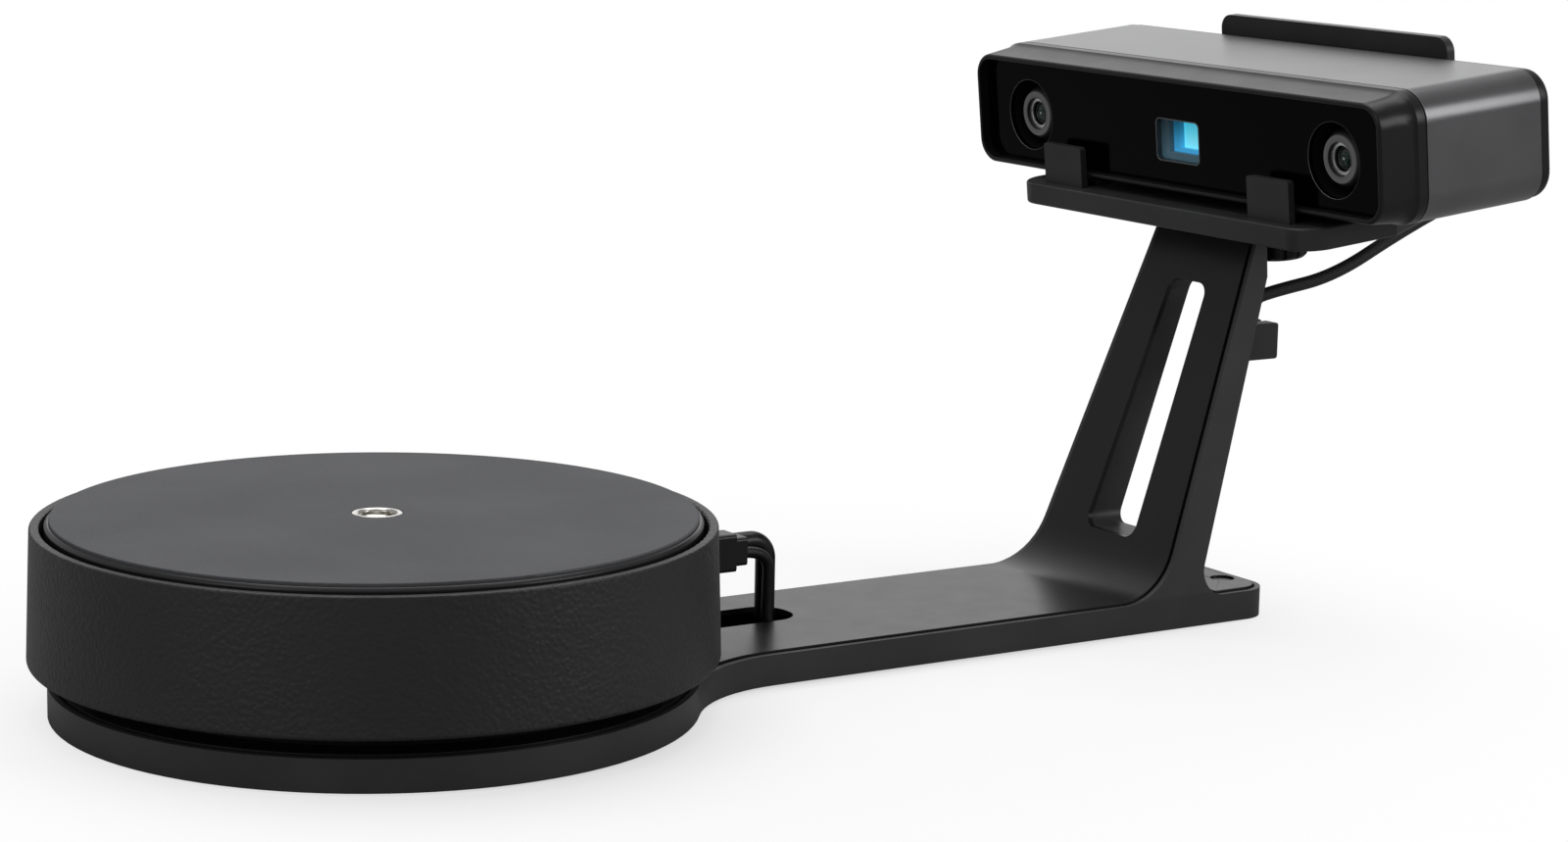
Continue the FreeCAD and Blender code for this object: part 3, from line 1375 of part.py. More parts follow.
def make_projector():
    """The window in the middle: a thin frame, a clear pane, and a light guide with two pockets behind it."""
    y = projector_side
    z = projector_rise
    half_w = projector_width / 2 - fit_gap
    half_h = projector_height / 2 - fit_gap
    inner_corner = projector_corner - projector_frame_width
    frame = upright(window_recess, pane_back, half_w, half_h, projector_corner, y, z)
    frame = frame.cut(upright(window_recess - overrun, pane_back + overrun, half_w - projector_frame_width,
                              half_h - projector_frame_width, inner_corner, y, z))
    keep("projector_frame", to_head(frame))
    half_w = half_w - projector_frame_width - fit_gap
    half_h = half_h - projector_frame_width - fit_gap
    pane_x = window_recess + projector_glass_setback
    keep("projector_glass", to_head(upright(pane_x, pane_x + projector_glass_thickness, half_w, half_h,
                                            inner_corner, y, z)))
    depth = pane_back + guide_step_depth * (len(guide_pocket_insets) + 1)
    guide = upright(pane_back, depth, half_w, half_h, inner_corner, y, z)
    floor = pane_back
    for side_inset, low_inset in guide_pocket_insets:
        floor += guide_step_depth
        guide = guide.cut(block(pane_back - overrun, floor, y - half_w - overrun, y + half_w - side_inset,
                                z - half_h + low_inset, z + half_h + overrun))
    keep("projector_light_guide", to_head(guide.removeSplitter()))
    lens_end = depth + projector_lens_length
    body_end = lens_end + projector_body_length
    base_end = body_end + heatsink_base_thickness
    half = projector_body_half_width
    tall = projector_body_half_height
    parts = [peg(depth, lens_end + fit_gap, y, z, projector_lens_radius),
             upright(lens_end, base_end, half, tall, projector_corner, y, z)]
    fin_half = tall - projector_corner
    pitch = (half * 2 - heatsink_fin_thickness) / (heatsink_fin_count - 1)
    for i in range(heatsink_fin_count):
        fin_y = y - half + i * pitch
        parts.append(block(base_end - fit_gap, base_end + heatsink_fin_length, fin_y,
                           fin_y + heatsink_fin_thickness, z - fin_half, z + fin_half))
    keep("projector_body", to_head(join(parts)))


def make_rail():
    shell_floor = shell_wall - seam_half_height
    rail = block(rail_depth, rail_back, -rail_half_width, rail_half_width, shell_floor, rail_half_height)
    for side in (-1, 1):
        rail = rail.cut(peg(rail_depth - overrun, rail_back + overrun, side * camera_side, camera_rise,
                            barrel_tail_radius + fit_gap))
    reach = projector_body_half_height + fit_gap
    high = max(projector_rise + reach, rail_half_height + overrun)
    rail = rail.cut(block(rail_depth - overrun, rail_back + overrun,
                          projector_side - projector_body_half_width - fit_gap,
                          projector_side + projector_body_half_width + fit_gap, projector_rise - reach, high))
    main_depth = shell_end - main_board_setback
    parts = [rail]
    for share in main_board_rest_shares:
        for side in (-1, 1):
            parts.append(peg(rail_back - fit_gap, main_depth, side * main_board_half_width * share,
                             main_board_rest_inset - main_board_half_height, standoff_radius))
    keep("optical_rail", to_head(join(parts)))
    board_back = main_depth + board_thickness
    parts = [block(main_depth, board_back, -main_board_half_width, main_board_half_width,
                   -main_board_half_height, main_board_half_height)]
    for across, half in main_board_chip_shares:
        size = main_board_half_width * half
        parts.append(upright(board_back - fit_gap, board_back + chip_height, size, size, rim_chamfer,
                             main_board_half_width * across))
    keep("main_board", to_head(join(parts)))


# Cradle, clamp jaw and knob

def make_cradle():
    low = cradle_bottom
    half = cradle_half_width
    rear = cradle_rear_half_width
    points = [V(-cradle_nose, -half, low), V(cradle_straight_end, -half, low), V(cradle_rear, -rear, low),
              V(cradle_rear, rear, low), V(cradle_straight_end, half, low), V(-cradle_nose, half, low)]
    radii = [cradle_corner, cradle_side_corner, cradle_rear_corner, cradle_rear_corner, cradle_side_corner,
             cradle_corner]
    plate = slab(points, radii, V(0, 0, cradle_thickness))
    rims = [edge for edge in plate.Edges if edge.BoundBox.ZMax - edge.BoundBox.ZMin < fit_gap]
    plate = plate.makeFillet(cradle_edge, rims)
    plate = plate.cut(block(tongue_start - tongue_gap * 2, cradle_rear + overrun, -tongue_half_width - tongue_gap,
                            tongue_half_width + tongue_gap, low - overrun, groove_ceiling))
    foot_top = cradle_top - prong_foot_drop
    foot_z = foot_top - prong_foot_thickness
    reach = prong_width / 2
    hole_x = prong_foot_length * prong_screw_share - prong_thickness
    prongs = []
    screws = []
    for side in (-1, 1):
        y = side * prong_side
        prong = block(-prong_thickness, prong_foot_length - prong_thickness, y - reach, y + reach, foot_z, foot_top)
        corners = [V(-prong_thickness, y - reach, foot_z), V(-prong_thickness, y + reach, foot_z),
                   V(-prong_thickness, y + reach, cradle_top + prong_height),
                   V(-prong_thickness, y - reach, cradle_top + prong_height)]
        prong = prong.fuse(slab(corners, [0, 0, prong_corner, prong_corner], V(prong_thickness, 0, 0)))
        plate = plate.cut(block(-prong_thickness - fit_gap, prong_foot_length - prong_thickness + fit_gap,
                                y - reach - fit_gap, y + reach + fit_gap, foot_z, cradle_top + overrun))
        for shift in (-reach / 2, reach / 2):
            prong = prong.cut(post(hole_x, y + shift, foot_z - overrun, foot_top + overrun, screw_hole_radius))
            plate = plate.cut(post(hole_x, y + shift, low + screw_head_height, foot_z + overrun,
                                   screw_hole_radius))
            screws.append(to_head(post(hole_x, y + shift, low + screw_head_height + running_gap, foot_top,
                                       screw_radius)))
        prongs.append(to_head(prong.removeSplitter()))
    head_low = cradle_top - screw_head_height
    for side in (-1, 1):
        y = side * cradle_screw_side
        plate = plate.cut(post(cradle_screw_depth, y, low - overrun, cradle_top + overrun, screw_hole_radius))
        plate = plate.cut(post(cradle_screw_depth, y, head_low, cradle_top + overrun,
                               screw_head_radius + fit_gap))
        screw = post(cradle_screw_depth, y, low - cradle_screw_grip, head_low + fit_gap, screw_radius)
        screw = screw.fuse(post(cradle_screw_depth, y, head_low, cradle_top - fit_gap, screw_head_radius))
        screws.append(to_head(screw.removeSplitter()))
    plate = plate.cut(post(knob_depth, 0, low, groove_ceiling + bush_length, bush_radius + fit_gap))
    keep("cradle_plate", to_head(plate.removeSplitter()))
    keep("front_prongs", *prongs)
    keep("cradle_screws", *screws)
    keep("knob_bush", to_head(pipe(knob_depth, 0, groove_ceiling, groove_ceiling + bush_length, bush_radius,
                                   knob_stem_radius + shaft_gap)))
    pads = []
    for depth in pad_depths:
        for side in (-1, 1):
            y = side * pad_side
            pads.append(to_head(block(depth, depth + pad_width, y - pad_half_length, y + pad_half_length,
                                      cradle_top, -seam_half_height)))
    keep("cradle_pads", *pads)


def make_jaw():
    plate_back = jaw_plate_depth + jaw_plate_thickness
    tongue_top = tongue_low + tongue_thickness
    tongue = block(tongue_start, plate_back, -tongue_half_width, tongue_half_width, tongue_low, tongue_top)
    slot_start = knob_depth - jaw_travel
    slot = block(slot_start, knob_depth, -stem_slot_radius, stem_slot_radius, tongue_low - overrun,
                 tongue_top + overrun)
    for x in (slot_start, knob_depth):
        slot = slot.fuse(post(x, 0, tongue_low - overrun, tongue_top + overrun, stem_slot_radius))
    outline = [(-jaw_bar_half_width, jaw_bar_top), (-jaw_bar_half_width, jaw_bar_bottom),
               (-jaw_stem_half_width, jaw_bar_bottom), (-jaw_stem_half_width, tongue_low),
               (jaw_stem_half_width, tongue_low), (jaw_stem_half_width, jaw_bar_bottom),
               (jaw_bar_half_width, jaw_bar_bottom), (jaw_bar_half_width, jaw_bar_top)]
    radii = [jaw_corner, jaw_corner, jaw_corner, 0, 0, jaw_corner, jaw_corner, jaw_corner]
    plate = slab([V(jaw_plate_depth, y, z) for y, z in outline], radii, V(jaw_plate_thickness, 0, 0))
    keep("clamp_jaw", to_head(join([tongue.cut(slot), plate])))
    pad_top = jaw_bar_top - jaw_pad_drop
    keep("jaw_pad", to_head(upright(cap_end + running_gap, jaw_plate_depth, jaw_bar_half_width - jaw_pad_inset,
                                    jaw_pad_height / 2, jaw_pad_corner, 0, pad_top - jaw_pad_height / 2)))

    collar_low = cradle_bottom - knob_collar_length
    grip_low = collar_low - knob_height
    stem = post(knob_depth, 0, cradle_bottom - fit_gap, groove_ceiling + bush_length - running_gap,
                knob_stem_radius)
    collar = post(knob_depth, 0, collar_low, cradle_bottom, knob_collar_radius)
    grip = lathe([(0, grip_low), (knob_radius - knob_edge, grip_low), (knob_radius, grip_low + knob_edge),
                  (knob_radius, collar_low - knob_edge), (knob_radius - knob_edge, collar_low),
                  (0, collar_low)], knob_depth, 0)
    knob = join([stem, collar, grip])
    for x, y in around(knob_grip_count, knob_radius + knob_grip_radius * knob_grip_share):
        knob = knob.cut(post(knob_depth + x, y, grip_low - overrun, collar_low, knob_grip_radius))
    keep("clamp_knob", to_head(knob))


os.makedirs("parts", exist_ok=True)
make_stand()
make_junction()
make_leads()
make_cable_clip()
make_drum()
make_platter()
make_drive()
make_turntable_board()
make_plugs()
make_head()
make_cameras()
make_projector()
make_rail()
make_cradle()
make_jaw()

for name, shape in made.items():
    if not shape.isValid() or not shape.Solids:
        print("not sound:", name)
    box = shape.BoundBox
    print("%-22s %2d solids  x %.1f %.1f  y %.1f %.1f  z %.1f %.1f" % (
        name, len(shape.Solids), box.XMin, box.XMax, box.YMin, box.YMax, box.ZMin, box.ZMax))
knob_base = head_point(knob_depth, 0, cradle_bottom)
print("pieces", len(made), "platter top", round(mat_top, 2), "pinion at", -gear_distance)
print("knob at", [round(c, 3) for c in knob_base], "up", head_up, "back", head_back)
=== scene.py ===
# %% [markdown]
# # Dressing a desktop 3d scanner
# The machine has a low round drum with a turning platter, a flat bridge, a leaning arm with a long slot,
# and a scan head clamped on top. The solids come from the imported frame. This notebook gives every one of
# them a finish, softens their edges, and adds the small pieces that only the eye needs.

# %% Load the frame
import json
import math

import bmesh
import bpy
from mathutils import Matrix, Vector


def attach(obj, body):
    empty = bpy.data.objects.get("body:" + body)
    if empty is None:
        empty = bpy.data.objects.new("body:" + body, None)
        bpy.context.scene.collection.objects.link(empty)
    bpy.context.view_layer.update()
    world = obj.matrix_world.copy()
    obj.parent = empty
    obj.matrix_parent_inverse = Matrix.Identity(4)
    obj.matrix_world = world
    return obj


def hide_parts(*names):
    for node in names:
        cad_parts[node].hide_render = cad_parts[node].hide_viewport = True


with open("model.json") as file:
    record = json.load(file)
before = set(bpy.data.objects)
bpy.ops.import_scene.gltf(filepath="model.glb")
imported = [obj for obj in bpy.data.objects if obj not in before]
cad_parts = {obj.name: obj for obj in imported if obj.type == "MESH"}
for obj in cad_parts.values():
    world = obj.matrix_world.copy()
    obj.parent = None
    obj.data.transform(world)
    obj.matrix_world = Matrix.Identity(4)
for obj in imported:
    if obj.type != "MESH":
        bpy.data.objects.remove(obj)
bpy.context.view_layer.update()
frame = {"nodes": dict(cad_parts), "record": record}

nodes = frame["nodes"]
MM = 0.001

# %% [markdown]
# ## Where the camera stands
# The photograph was taken a little above the platter, from its left front corner, with a long lens.
# A camera can be aimed with a constraint, but the picture is also rolled by about a degree, so it is
# simpler to write its three axes down: right, up, and back towards the photographer.

# %% Camera
AZIMUTH, ELEVATION, ROLL = (math.radians(a) for a in (-32.9, 10.2, 1.1))
FOCAL_LENGTH, SENSOR_WIDTH, SIGHT_END = 84.73, 36.0, 20.0
CAMERA_PLACE = Vector((-0.4745, -0.9515, 0.2782))
back = Vector((math.sin(AZIMUTH) * math.cos(ELEVATION), -math.cos(AZIMUTH) * math.cos(ELEVATION),
               math.sin(ELEVATION)))
level_right = Vector((math.cos(AZIMUTH), math.sin(AZIMUTH), 0))
level_up = back.cross(level_right)
right = math.cos(ROLL) * level_right + math.sin(ROLL) * level_up
up = math.cos(ROLL) * level_up - math.sin(ROLL) * level_right
lens = bpy.data.cameras.new("photo_lens")
lens.lens = FOCAL_LENGTH
lens.sensor_width = SENSOR_WIDTH
lens.clip_end = SIGHT_END
camera = bpy.data.objects.new("photo_camera", lens)
bpy.context.scene.collection.objects.link(camera)
camera.matrix_world = Matrix.Translation(CAMERA_PLACE) @ Matrix(
    (right, up, back)).transposed().to_4x4()
bpy.context.scene.camera = camera
print("camera stands", round(camera.matrix_world.translation.length, 3), "m from the platter's axis")

# %% [markdown]
# ## Sums with sockets
# A finish is a little network of nodes. Wiring it by hand hides the idea, so sums are written as sums:
# `Wire` holds one output socket, and +, -, * and / on it add the Math nodes. Every other node comes from
# `Finish.node`, which sets the node's own choices first and then its sockets.

# %% Wire and Finish
class Wire:
    """One output socket that can be used in a sum."""

    def __init__(self, finish, socket):
        self.finish = finish
        self.socket = socket

    def sum(self, operation, first, second):
        return self.finish.node("ShaderNodeMath", {"operation": operation}, {0: first, 1: second})

    def __add__(self, other):
        return self.sum("ADD", self, other)

    def __radd__(self, other):
        return self.sum("ADD", other, self)

    def __sub__(self, other):
        return self.sum("SUBTRACT", self, other)

    def __rsub__(self, other):
        return self.sum("SUBTRACT", other, self)

    def __mul__(self, other):
        return self.sum("MULTIPLY", self, other)

    def __rmul__(self, other):
        return self.sum("MULTIPLY", other, self)

    def __truediv__(self, other):
        return self.sum("DIVIDE", self, other)


class Finish:
    """One material, with its shader and the nodes that drive it."""

    def __init__(self, name):
        self.material = bpy.data.materials.new(name)
        self.material.use_nodes = True
        self.tree = self.material.node_tree
        self.shader = self.tree.nodes["Principled BSDF"]
        self.output = self.tree.nodes["Material Output"]

    def node(self, kind, settings=None, sockets=None, out=0):
        made = self.tree.nodes.new(kind)
        for key, value in (settings or {}).items():
            if key == "stops":
                ramp = made.color_ramp
                while len(ramp.elements) < len(value):
                    ramp.elements.new(0.5)
                for element, (place, shade) in zip(ramp.elements, value):
                    element.position = place
                    element.color = (*shade, 1) if isinstance(shade, tuple) else (shade, shade, shade, 1)
            else:
                setattr(made, key, value)
        self.fill(made, sockets or {})
        return Wire(self, made.outputs[out])

    def fill(self, made, sockets):
        for key, value in sockets.items():
            if isinstance(value, Wire):
                self.tree.links.new(value.socket, made.inputs[key])
            else:
                made.inputs[key].default_value = value

    def set(self, **values):
        """Constants or wires on the shader's own sockets. An underscore stands for a space."""
        self.fill(self.shader, {key.replace("_", " "): value for key, value in values.items()})
        return self

    def place(self):
        return self.node("ShaderNodeTexCoord", out="Object")

    def blend(self, mask, low, high):
        return self.node("ShaderNodeMix", {"data_type": "RGBA"},
                         {0: mask, 6: (*low, 1), 7: (*high, 1)}, out=2)

    def clouds(self, size, detail=3.0, roughness=0.5, stretch=(1, 1, 1)):
        """Noise whose patches are about that wide, in metres."""
        at = self.node("ShaderNodeVectorMath", {"operation": "MULTIPLY"},
                       {0: self.place(), 1: tuple(s / size for s in stretch)})
        return self.node("ShaderNodeTexNoise", {"noise_dimensions": "3D"},
                         {"Vector": at, "Scale": 1.0, "Detail": detail, "Roughness": roughness})

    def cells(self, size, feature="F1", jitter=1.0):
        at = self.node("ShaderNodeVectorMath", {"operation": "SCALE"}, {0: self.place(), "Scale": 1 / size})
        return self.node("ShaderNodeTexVoronoi", {"feature": feature},
                         {"Vector": at, "Scale": 1.0, "Randomness": jitter}, out="Distance")

    def between(self, value, low, high):
        """Nothing below low, all above high, smooth between them."""
        return self.node("ShaderNodeMapRange", {"interpolation_type": "SMOOTHSTEP"},
                         {"Value": value, "From Min": low, "From Max": high})

    def raised(self, height, depth, under=None):
        sockets = {"Height": height, "Distance": depth, "Strength": 1.0}
        if under is not None:
            sockets["Normal"] = under
        return self.node("ShaderNodeBump", {}, sockets, out="Normal")


finishes = {}
print("helpers for finishes are ready")

# %% [markdown]
# ## Moulded plastic
# Most of the machine is dark moulded plastic. It is never one flat grey: the mould's spark texture scatters
# light, thick and thin walls cool to slightly different shades, and hands leave faint duller patches. One
# recipe covers it: broad clouds for the shade, finer clouds for the gloss, and a grain for the bump.

# %% Recipe for moulded plastic
def moulded(name, shade, gloss, grain=0.0005, depth=0.00002, contrast=0.16, specular=0.30):
    made = Finish(name)
    patches = made.clouds(0.045, detail=4.0)
    darker = tuple(c * (1 - contrast) for c in shade)
    lighter = tuple(c * (1 + contrast) for c in shade)
    made.set(Base_Color=made.blend(made.between(patches, 0.3, 0.7), darker, lighter))
    rub = made.clouds(0.012, detail=5.0, roughness=0.6)
    made.set(Roughness=gloss - 0.05 + rub * 0.1, Specular_IOR_Level=specular)
    fine = made.clouds(grain, detail=2.0, roughness=0.55)
    made.set(Normal=made.raised(fine, depth))
    finishes[name] = made
    return made


moulded("stand_satin", (0.038, 0.038, 0.039), 0.40)
moulded("stand_inset", (0.008, 0.008, 0.0084), 0.30, grain=0.0006, depth=0.000012)
moulded("clip_satin", (0.030, 0.030, 0.031), 0.48)
moulded("plug_black", (0.005, 0.005, 0.0053), 0.32)
moulded("inner_black", (0.006, 0.006, 0.0064), 0.55, specular=0.2)
moulded("bezel_satin", (0.007, 0.007, 0.0074), 0.32, grain=0.0004, depth=0.000008, specular=0.28)
moulded("cap_black", (0.005, 0.005, 0.0053), 0.36)
moulded("hood_black", (0.003, 0.003, 0.003), 0.60, specular=0.1)
moulded("cradle_satin", (0.028, 0.028, 0.029), 0.36)
moulded("prong_satin", (0.026, 0.026, 0.027), 0.42)
moulded("gear_white", (0.60, 0.58, 0.53), 0.45, contrast=0.05)
print("plastics:", sorted(finishes))

# %% [markdown]
# ## The drum's leather grain
# The side of the drum has a fine leather-like grain, with pebbles about a millimetre across and shallow
# valleys between them. Distance to the edge of Voronoi cells gives pebbles with valleys. Some noise makes
# their sizes uneven, and the valleys are a little duller than the tops.

# %% Leather grain
def leathery(name, shade, gloss, pebble, depth, specular=0.4):
    made = Finish(name)
    pebbles = made.cells(pebble, feature="SMOOTH_F1")
    uneven = made.clouds(pebble * 3, detail=2.0)
    height = (1 - pebbles) * (0.6 + uneven * 0.8)
    patches = made.clouds(0.05, detail=3.0)
    made.set(Base_Color=made.blend(made.between(patches, 0.3, 0.7), tuple(c * 0.88 for c in shade),
                                   tuple(c * 1.14 for c in shade)))
    made.set(Roughness=gloss + pebbles * 0.08, Specular_IOR_Level=specular)
    made.set(Normal=made.raised(height, depth))
    finishes[name] = made
    return made


leathery("drum_grain", (0.012, 0.012, 0.0124), 0.44, 0.0013, 0.00022, specular=0.45)
leathery("mat_grain", (0.056, 0.057, 0.062), 0.60, 0.0008, 0.00006, specular=0.3)
print("grained:", "drum_grain, mat_grain")

# %% [markdown]
# ## Rubber
# Feet, pads and the jackets of the leads are soft and matt. Rubber scatters light in every direction, so it
# has a high roughness and hardly any grain, with a bloom of paler dust in places.

# %% Rubber
def rubbery(name, shade, gloss=0.75):
    made = Finish(name)
    bloom = made.between(made.clouds(0.008, detail=5.0, roughness=0.65), 0.45, 0.8)
    made.set(Base_Color=made.blend(bloom, shade, tuple(c * 1.5 for c in shade)))
    made.set(Roughness=gloss + bloom * 0.1, Specular_IOR_Level=0.3)
    made.set(Normal=made.raised(made.clouds(0.0004, detail=2.0), 0.00001))
    finishes[name] = made
    return made


rubbery("black_rubber", (0.007, 0.007, 0.0073))
rubbery("lead_black", (0.006, 0.006, 0.0063), 0.45)
print("rubbers are ready")

# %% [markdown]
# ## Metals
# The head's shell is a satin metallic coat: tiny flakes under a clear layer, bright where it faces the
# light and dark where it turns away. Turned and plated parts are true metals. Their fine lines run round
# the axis, which stretched noise imitates well enough at this size.

# %% Metal recipes
def metal(name, shade, gloss, grain=0.0004, depth=0.000004, metallic=1.0, stretch=(1, 1, 1), coat=0.0):
    made = Finish(name)
    lines = made.clouds(grain, detail=3.0, roughness=0.6, stretch=stretch)
    patches = made.clouds(0.03, detail=3.0)
    made.set(Base_Color=made.blend(made.between(patches, 0.3, 0.7), tuple(c * 0.93 for c in shade),
                                   tuple(min(1.0, c * 1.06) for c in shade)))
    made.set(Metallic=metallic, Roughness=gloss - 0.04 + lines * 0.08, Coat_Weight=coat)
    made.set(Normal=made.raised(lines, depth))
    finishes[name] = made
    return made


metal("shell_metallic", (0.155, 0.155, 0.16), 0.30, grain=0.0003, depth=0.000003, metallic=0.9)
metal("platter_satin", (0.010, 0.010, 0.0105), 0.30, metallic=0.2)
metal("nickel", (0.66, 0.64, 0.60), 0.16, grain=0.0008, stretch=(1, 1, 6))
metal("steel", (0.50, 0.50, 0.51), 0.30, stretch=(1, 1, 5))
metal("brass", (0.66, 0.48, 0.20), 0.28)
metal("zinc_plate", (0.52, 0.53, 0.54), 0.35)
metal("motor_can", (0.030, 0.030, 0.032), 0.42, metallic=0.3)
metal("frame_grey", (0.16, 0.165, 0.17), 0.35)
metal("heatsink", (0.05, 0.05, 0.053), 0.45, metallic=0.7)
metal("rail_alloy", (0.52, 0.52, 0.54), 0.38, stretch=(1, 5, 1))
print("metals are ready")

# %% [markdown]
# ## Circuit boards
# Boards are hidden inside, but a reader who opens the model should find solder mask: deep green with
# slightly raised copper tracks. Tracks run straight, so a brick pattern of thin lines stands for them.

# %% Circuit board
board = Finish("board_green")
grid = board.node("ShaderNodeVectorMath", {"operation": "SCALE"}, {0: board.place(), "Scale": 260.0})
tracks = board.node("ShaderNodeTexBrick", {"offset": 0.37}, {
    "Vector": grid, "Scale": 1.0, "Mortar Size": 0.06, "Mortar Smooth": 0.3, "Brick Width": 0.9,
    "Row Height": 0.33}, out="Fac")
board.set(Base_Color=board.blend(tracks, (0.012, 0.085, 0.042), (0.03, 0.15, 0.07)))
board.set(Roughness=0.3 + board.clouds(0.004) * 0.1, Normal=board.raised(tracks, 0.00003))
finishes["board_green"] = board
print("board: green mask with tracks")

# %% [markdown]
# ## Window, lenses and the light guide
# The front window is black glass: a very dark body under a hard polished face. It has to stay black, so its
# specular level is low and its roughness tiny, with a trace of waviness. The projector's pane is clear.

# %% Window and glass
window = Finish("window_black")
haze = window.clouds(0.03, detail=2.0)
window.set(Base_Color=window.blend(haze, (0.0004, 0.0004, 0.0005), (0.0009, 0.0009, 0.0010)))
window.set(Roughness=0.07 + haze * 0.05, Specular_IOR_Level=0.05)
window.set(Normal=window.raised(window.clouds(0.05, detail=1.0), 0.00001))
finishes["window_black"] = window

pane = Finish("pane_glass")
pane_dust = pane.clouds(0.004, detail=4.0)
pane.set(Base_Color=pane.blend(pane_dust, (0.10, 0.13, 0.15), (0.16, 0.20, 0.23)))
pane.set(Roughness=0.03 + pane_dust * 0.03, Alpha=0.03 + pane_dust * 0.03, Specular_IOR_Level=0.2)
finishes["pane_glass"] = pane
print("window and pane are ready")

# %% [markdown]
# The head leans, so places in it are measured along its own axes. The light guide has two pockets, one
# deeper than the other: its rim is slate, the first floor is blue and the second is cyan, and all three
# grow paler towards the bottom. So the colour follows depth, once for the top and once for the bottom. The
# same colour is also given off as light, a painted glow, though the guide is no lamp.

# %% Light guide
HEAD_LEAN = math.radians(6.0)
head_back = Vector((math.cos(HEAD_LEAN), 0, math.sin(HEAD_LEAN)))
head_up = Vector((-math.sin(HEAD_LEAN), 0, math.cos(HEAD_LEAN)))
head_middle = Vector((288.3, 0, 158.2)) * MM
GUIDE_FRONT, GUIDE_STEP, GUIDE_LOW, GUIDE_HIGH = 5.8, 2.2, -10.0, 4.4


def measured(made, direction, start=Vector((0, 0, 0))):
    """How far a place lies along a direction, in millimetres."""
    length = made.node("ShaderNodeVectorMath", {"operation": "DOT_PRODUCT"},
                       {0: made.place(), 1: tuple(direction)}, out="Value")
    return (length - direction.dot(start)) / MM


guide = Finish("guide_blue")
floors = (measured(guide, head_back, head_middle) - GUIDE_FRONT) / (GUIDE_STEP * 3)
top_shades = ((0.0045, 0.0145, 0.021), (0.001, 0.075, 0.14), (0.045, 0.52, 0.70))
low_shades = ((0.030, 0.072, 0.098), (0.045, 0.36, 0.66), (0.25, 0.80, 0.91))
ramps = []
for shades in (top_shades, low_shades):
    stops = [(0.0, shades[0]), (0.25, shades[0]), (0.33, shades[1]), (0.58, shades[1]), (0.66, shades[2]),
             (1.0, shades[2])]
    ramps.append(guide.node("ShaderNodeValToRGB", {"stops": stops}, {"Fac": floors}))
height = guide.between(measured(guide, head_up, head_middle), GUIDE_LOW, GUIDE_HIGH)
colour_and_painted_glow = guide.node("ShaderNodeMix", {"data_type": "RGBA"}, {0: height, 6: ramps[1], 7: ramps[0]}, out=2)
# The colour is also emitted at strength 0.7: a painted glow on a part that is no lamp.
guide.set(Base_Color=colour_and_painted_glow, Emission_Color=colour_and_painted_glow, Emission_Strength=0.7)
guide.set(Roughness=0.25 + guide.clouds(0.003) * 0.1)
finishes["guide_blue"] = guide
print("guide floors lie", [round(GUIDE_FRONT + GUIDE_STEP * i, 1) for i in range(3)], "mm behind the rim")

# %% [markdown]
# A camera is a set of rings round one axis, so its finishes follow the distance from that axis. The barrel
# has a wide matt grey ring on a black flank, painted a little paler than its own grey to make up for the
# shadow of the hood. The lock ring is bright outside and blackened inside. The glass is nearly black with a
# green coat; a pale spot in its middle is a painted reflection, and a few thin circles where the inner
# lenses sit are painted glints.

# %% Cameras
LENS_SIDE, LENS_RISE = 79.3, -1.2


def turned(name, reach, stops, gloss, specular=0.3, metallic=0.0, coat=0.0):
    made = Finish(name)
    across = made.node("ShaderNodeMath", {"operation": "ABSOLUTE"}, {0: measured(made, Vector((0, 1, 0)))})
    across = across - LENS_SIDE
    rise = measured(made, head_up, head_middle) - LENS_RISE
    radius = made.node("ShaderNodeMath", {"operation": "SQRT"}, {0: across * across + rise * rise})
    made.set(Base_Color=made.node("ShaderNodeValToRGB", {"stops": stops}, {"Fac": radius / reach}))
    made.set(Roughness=gloss + made.clouds(0.0006) * 0.06, Specular_IOR_Level=specular)
    made.set(Metallic=metallic, Coat_Weight=coat)
    finishes[name] = made


# The grey ring from 0.56 to 0.75 of the reach is the barrel's own matt grey, made paler as painted light
# against the hood's shadow.
turned("barrel_dark", 10.0, [(0.0, 0.006), (0.545, 0.006), (0.56, 0.15), (0.75, 0.20), (0.80, 0.040),
                             (0.86, 0.010), (1.0, 0.005)], 0.5)
turned("ring_silver", 6.0, [(0.0, 0.004), (0.66, 0.004), (0.70, 0.62), (0.86, 0.85), (1.0, 0.30)], 0.28,
       metallic=0.9)
# The pale middle of the glass is a painted reflection, and the thin green and grey circles are painted
# glints.
turned("lens_glass", 4.0, [
    (0.0, (0.50, 0.56, 0.52)), (0.10, (0.34, 0.40, 0.36)), (0.14, (0.003, 0.006, 0.005)),
    (0.34, (0.004, 0.014, 0.011)), (0.38, (0.020, 0.10, 0.080)), (0.43, (0.004, 0.016, 0.013)),
    (0.62, (0.003, 0.008, 0.007)), (0.65, (0.060, 0.085, 0.080)), (0.69, (0.003, 0.005, 0.005)),
    (1.0, (0.002, 0.002, 0.002))], 0.04, specular=0.35, coat=0.25)
print("cameras: barrel, lock ring and glass")

# %% [markdown]
# ## Softened edges
# A real edge is never knife sharp: moulded corners have a small radius, and it is the thin line of light on
# that radius that makes a dark machine readable. The solids can't be moved, but they can carry modifiers.
# Weld closes the seams that the file format leaves, Bevel rounds only the sharp edges, and Weighted Normal
# keeps the flats flat.

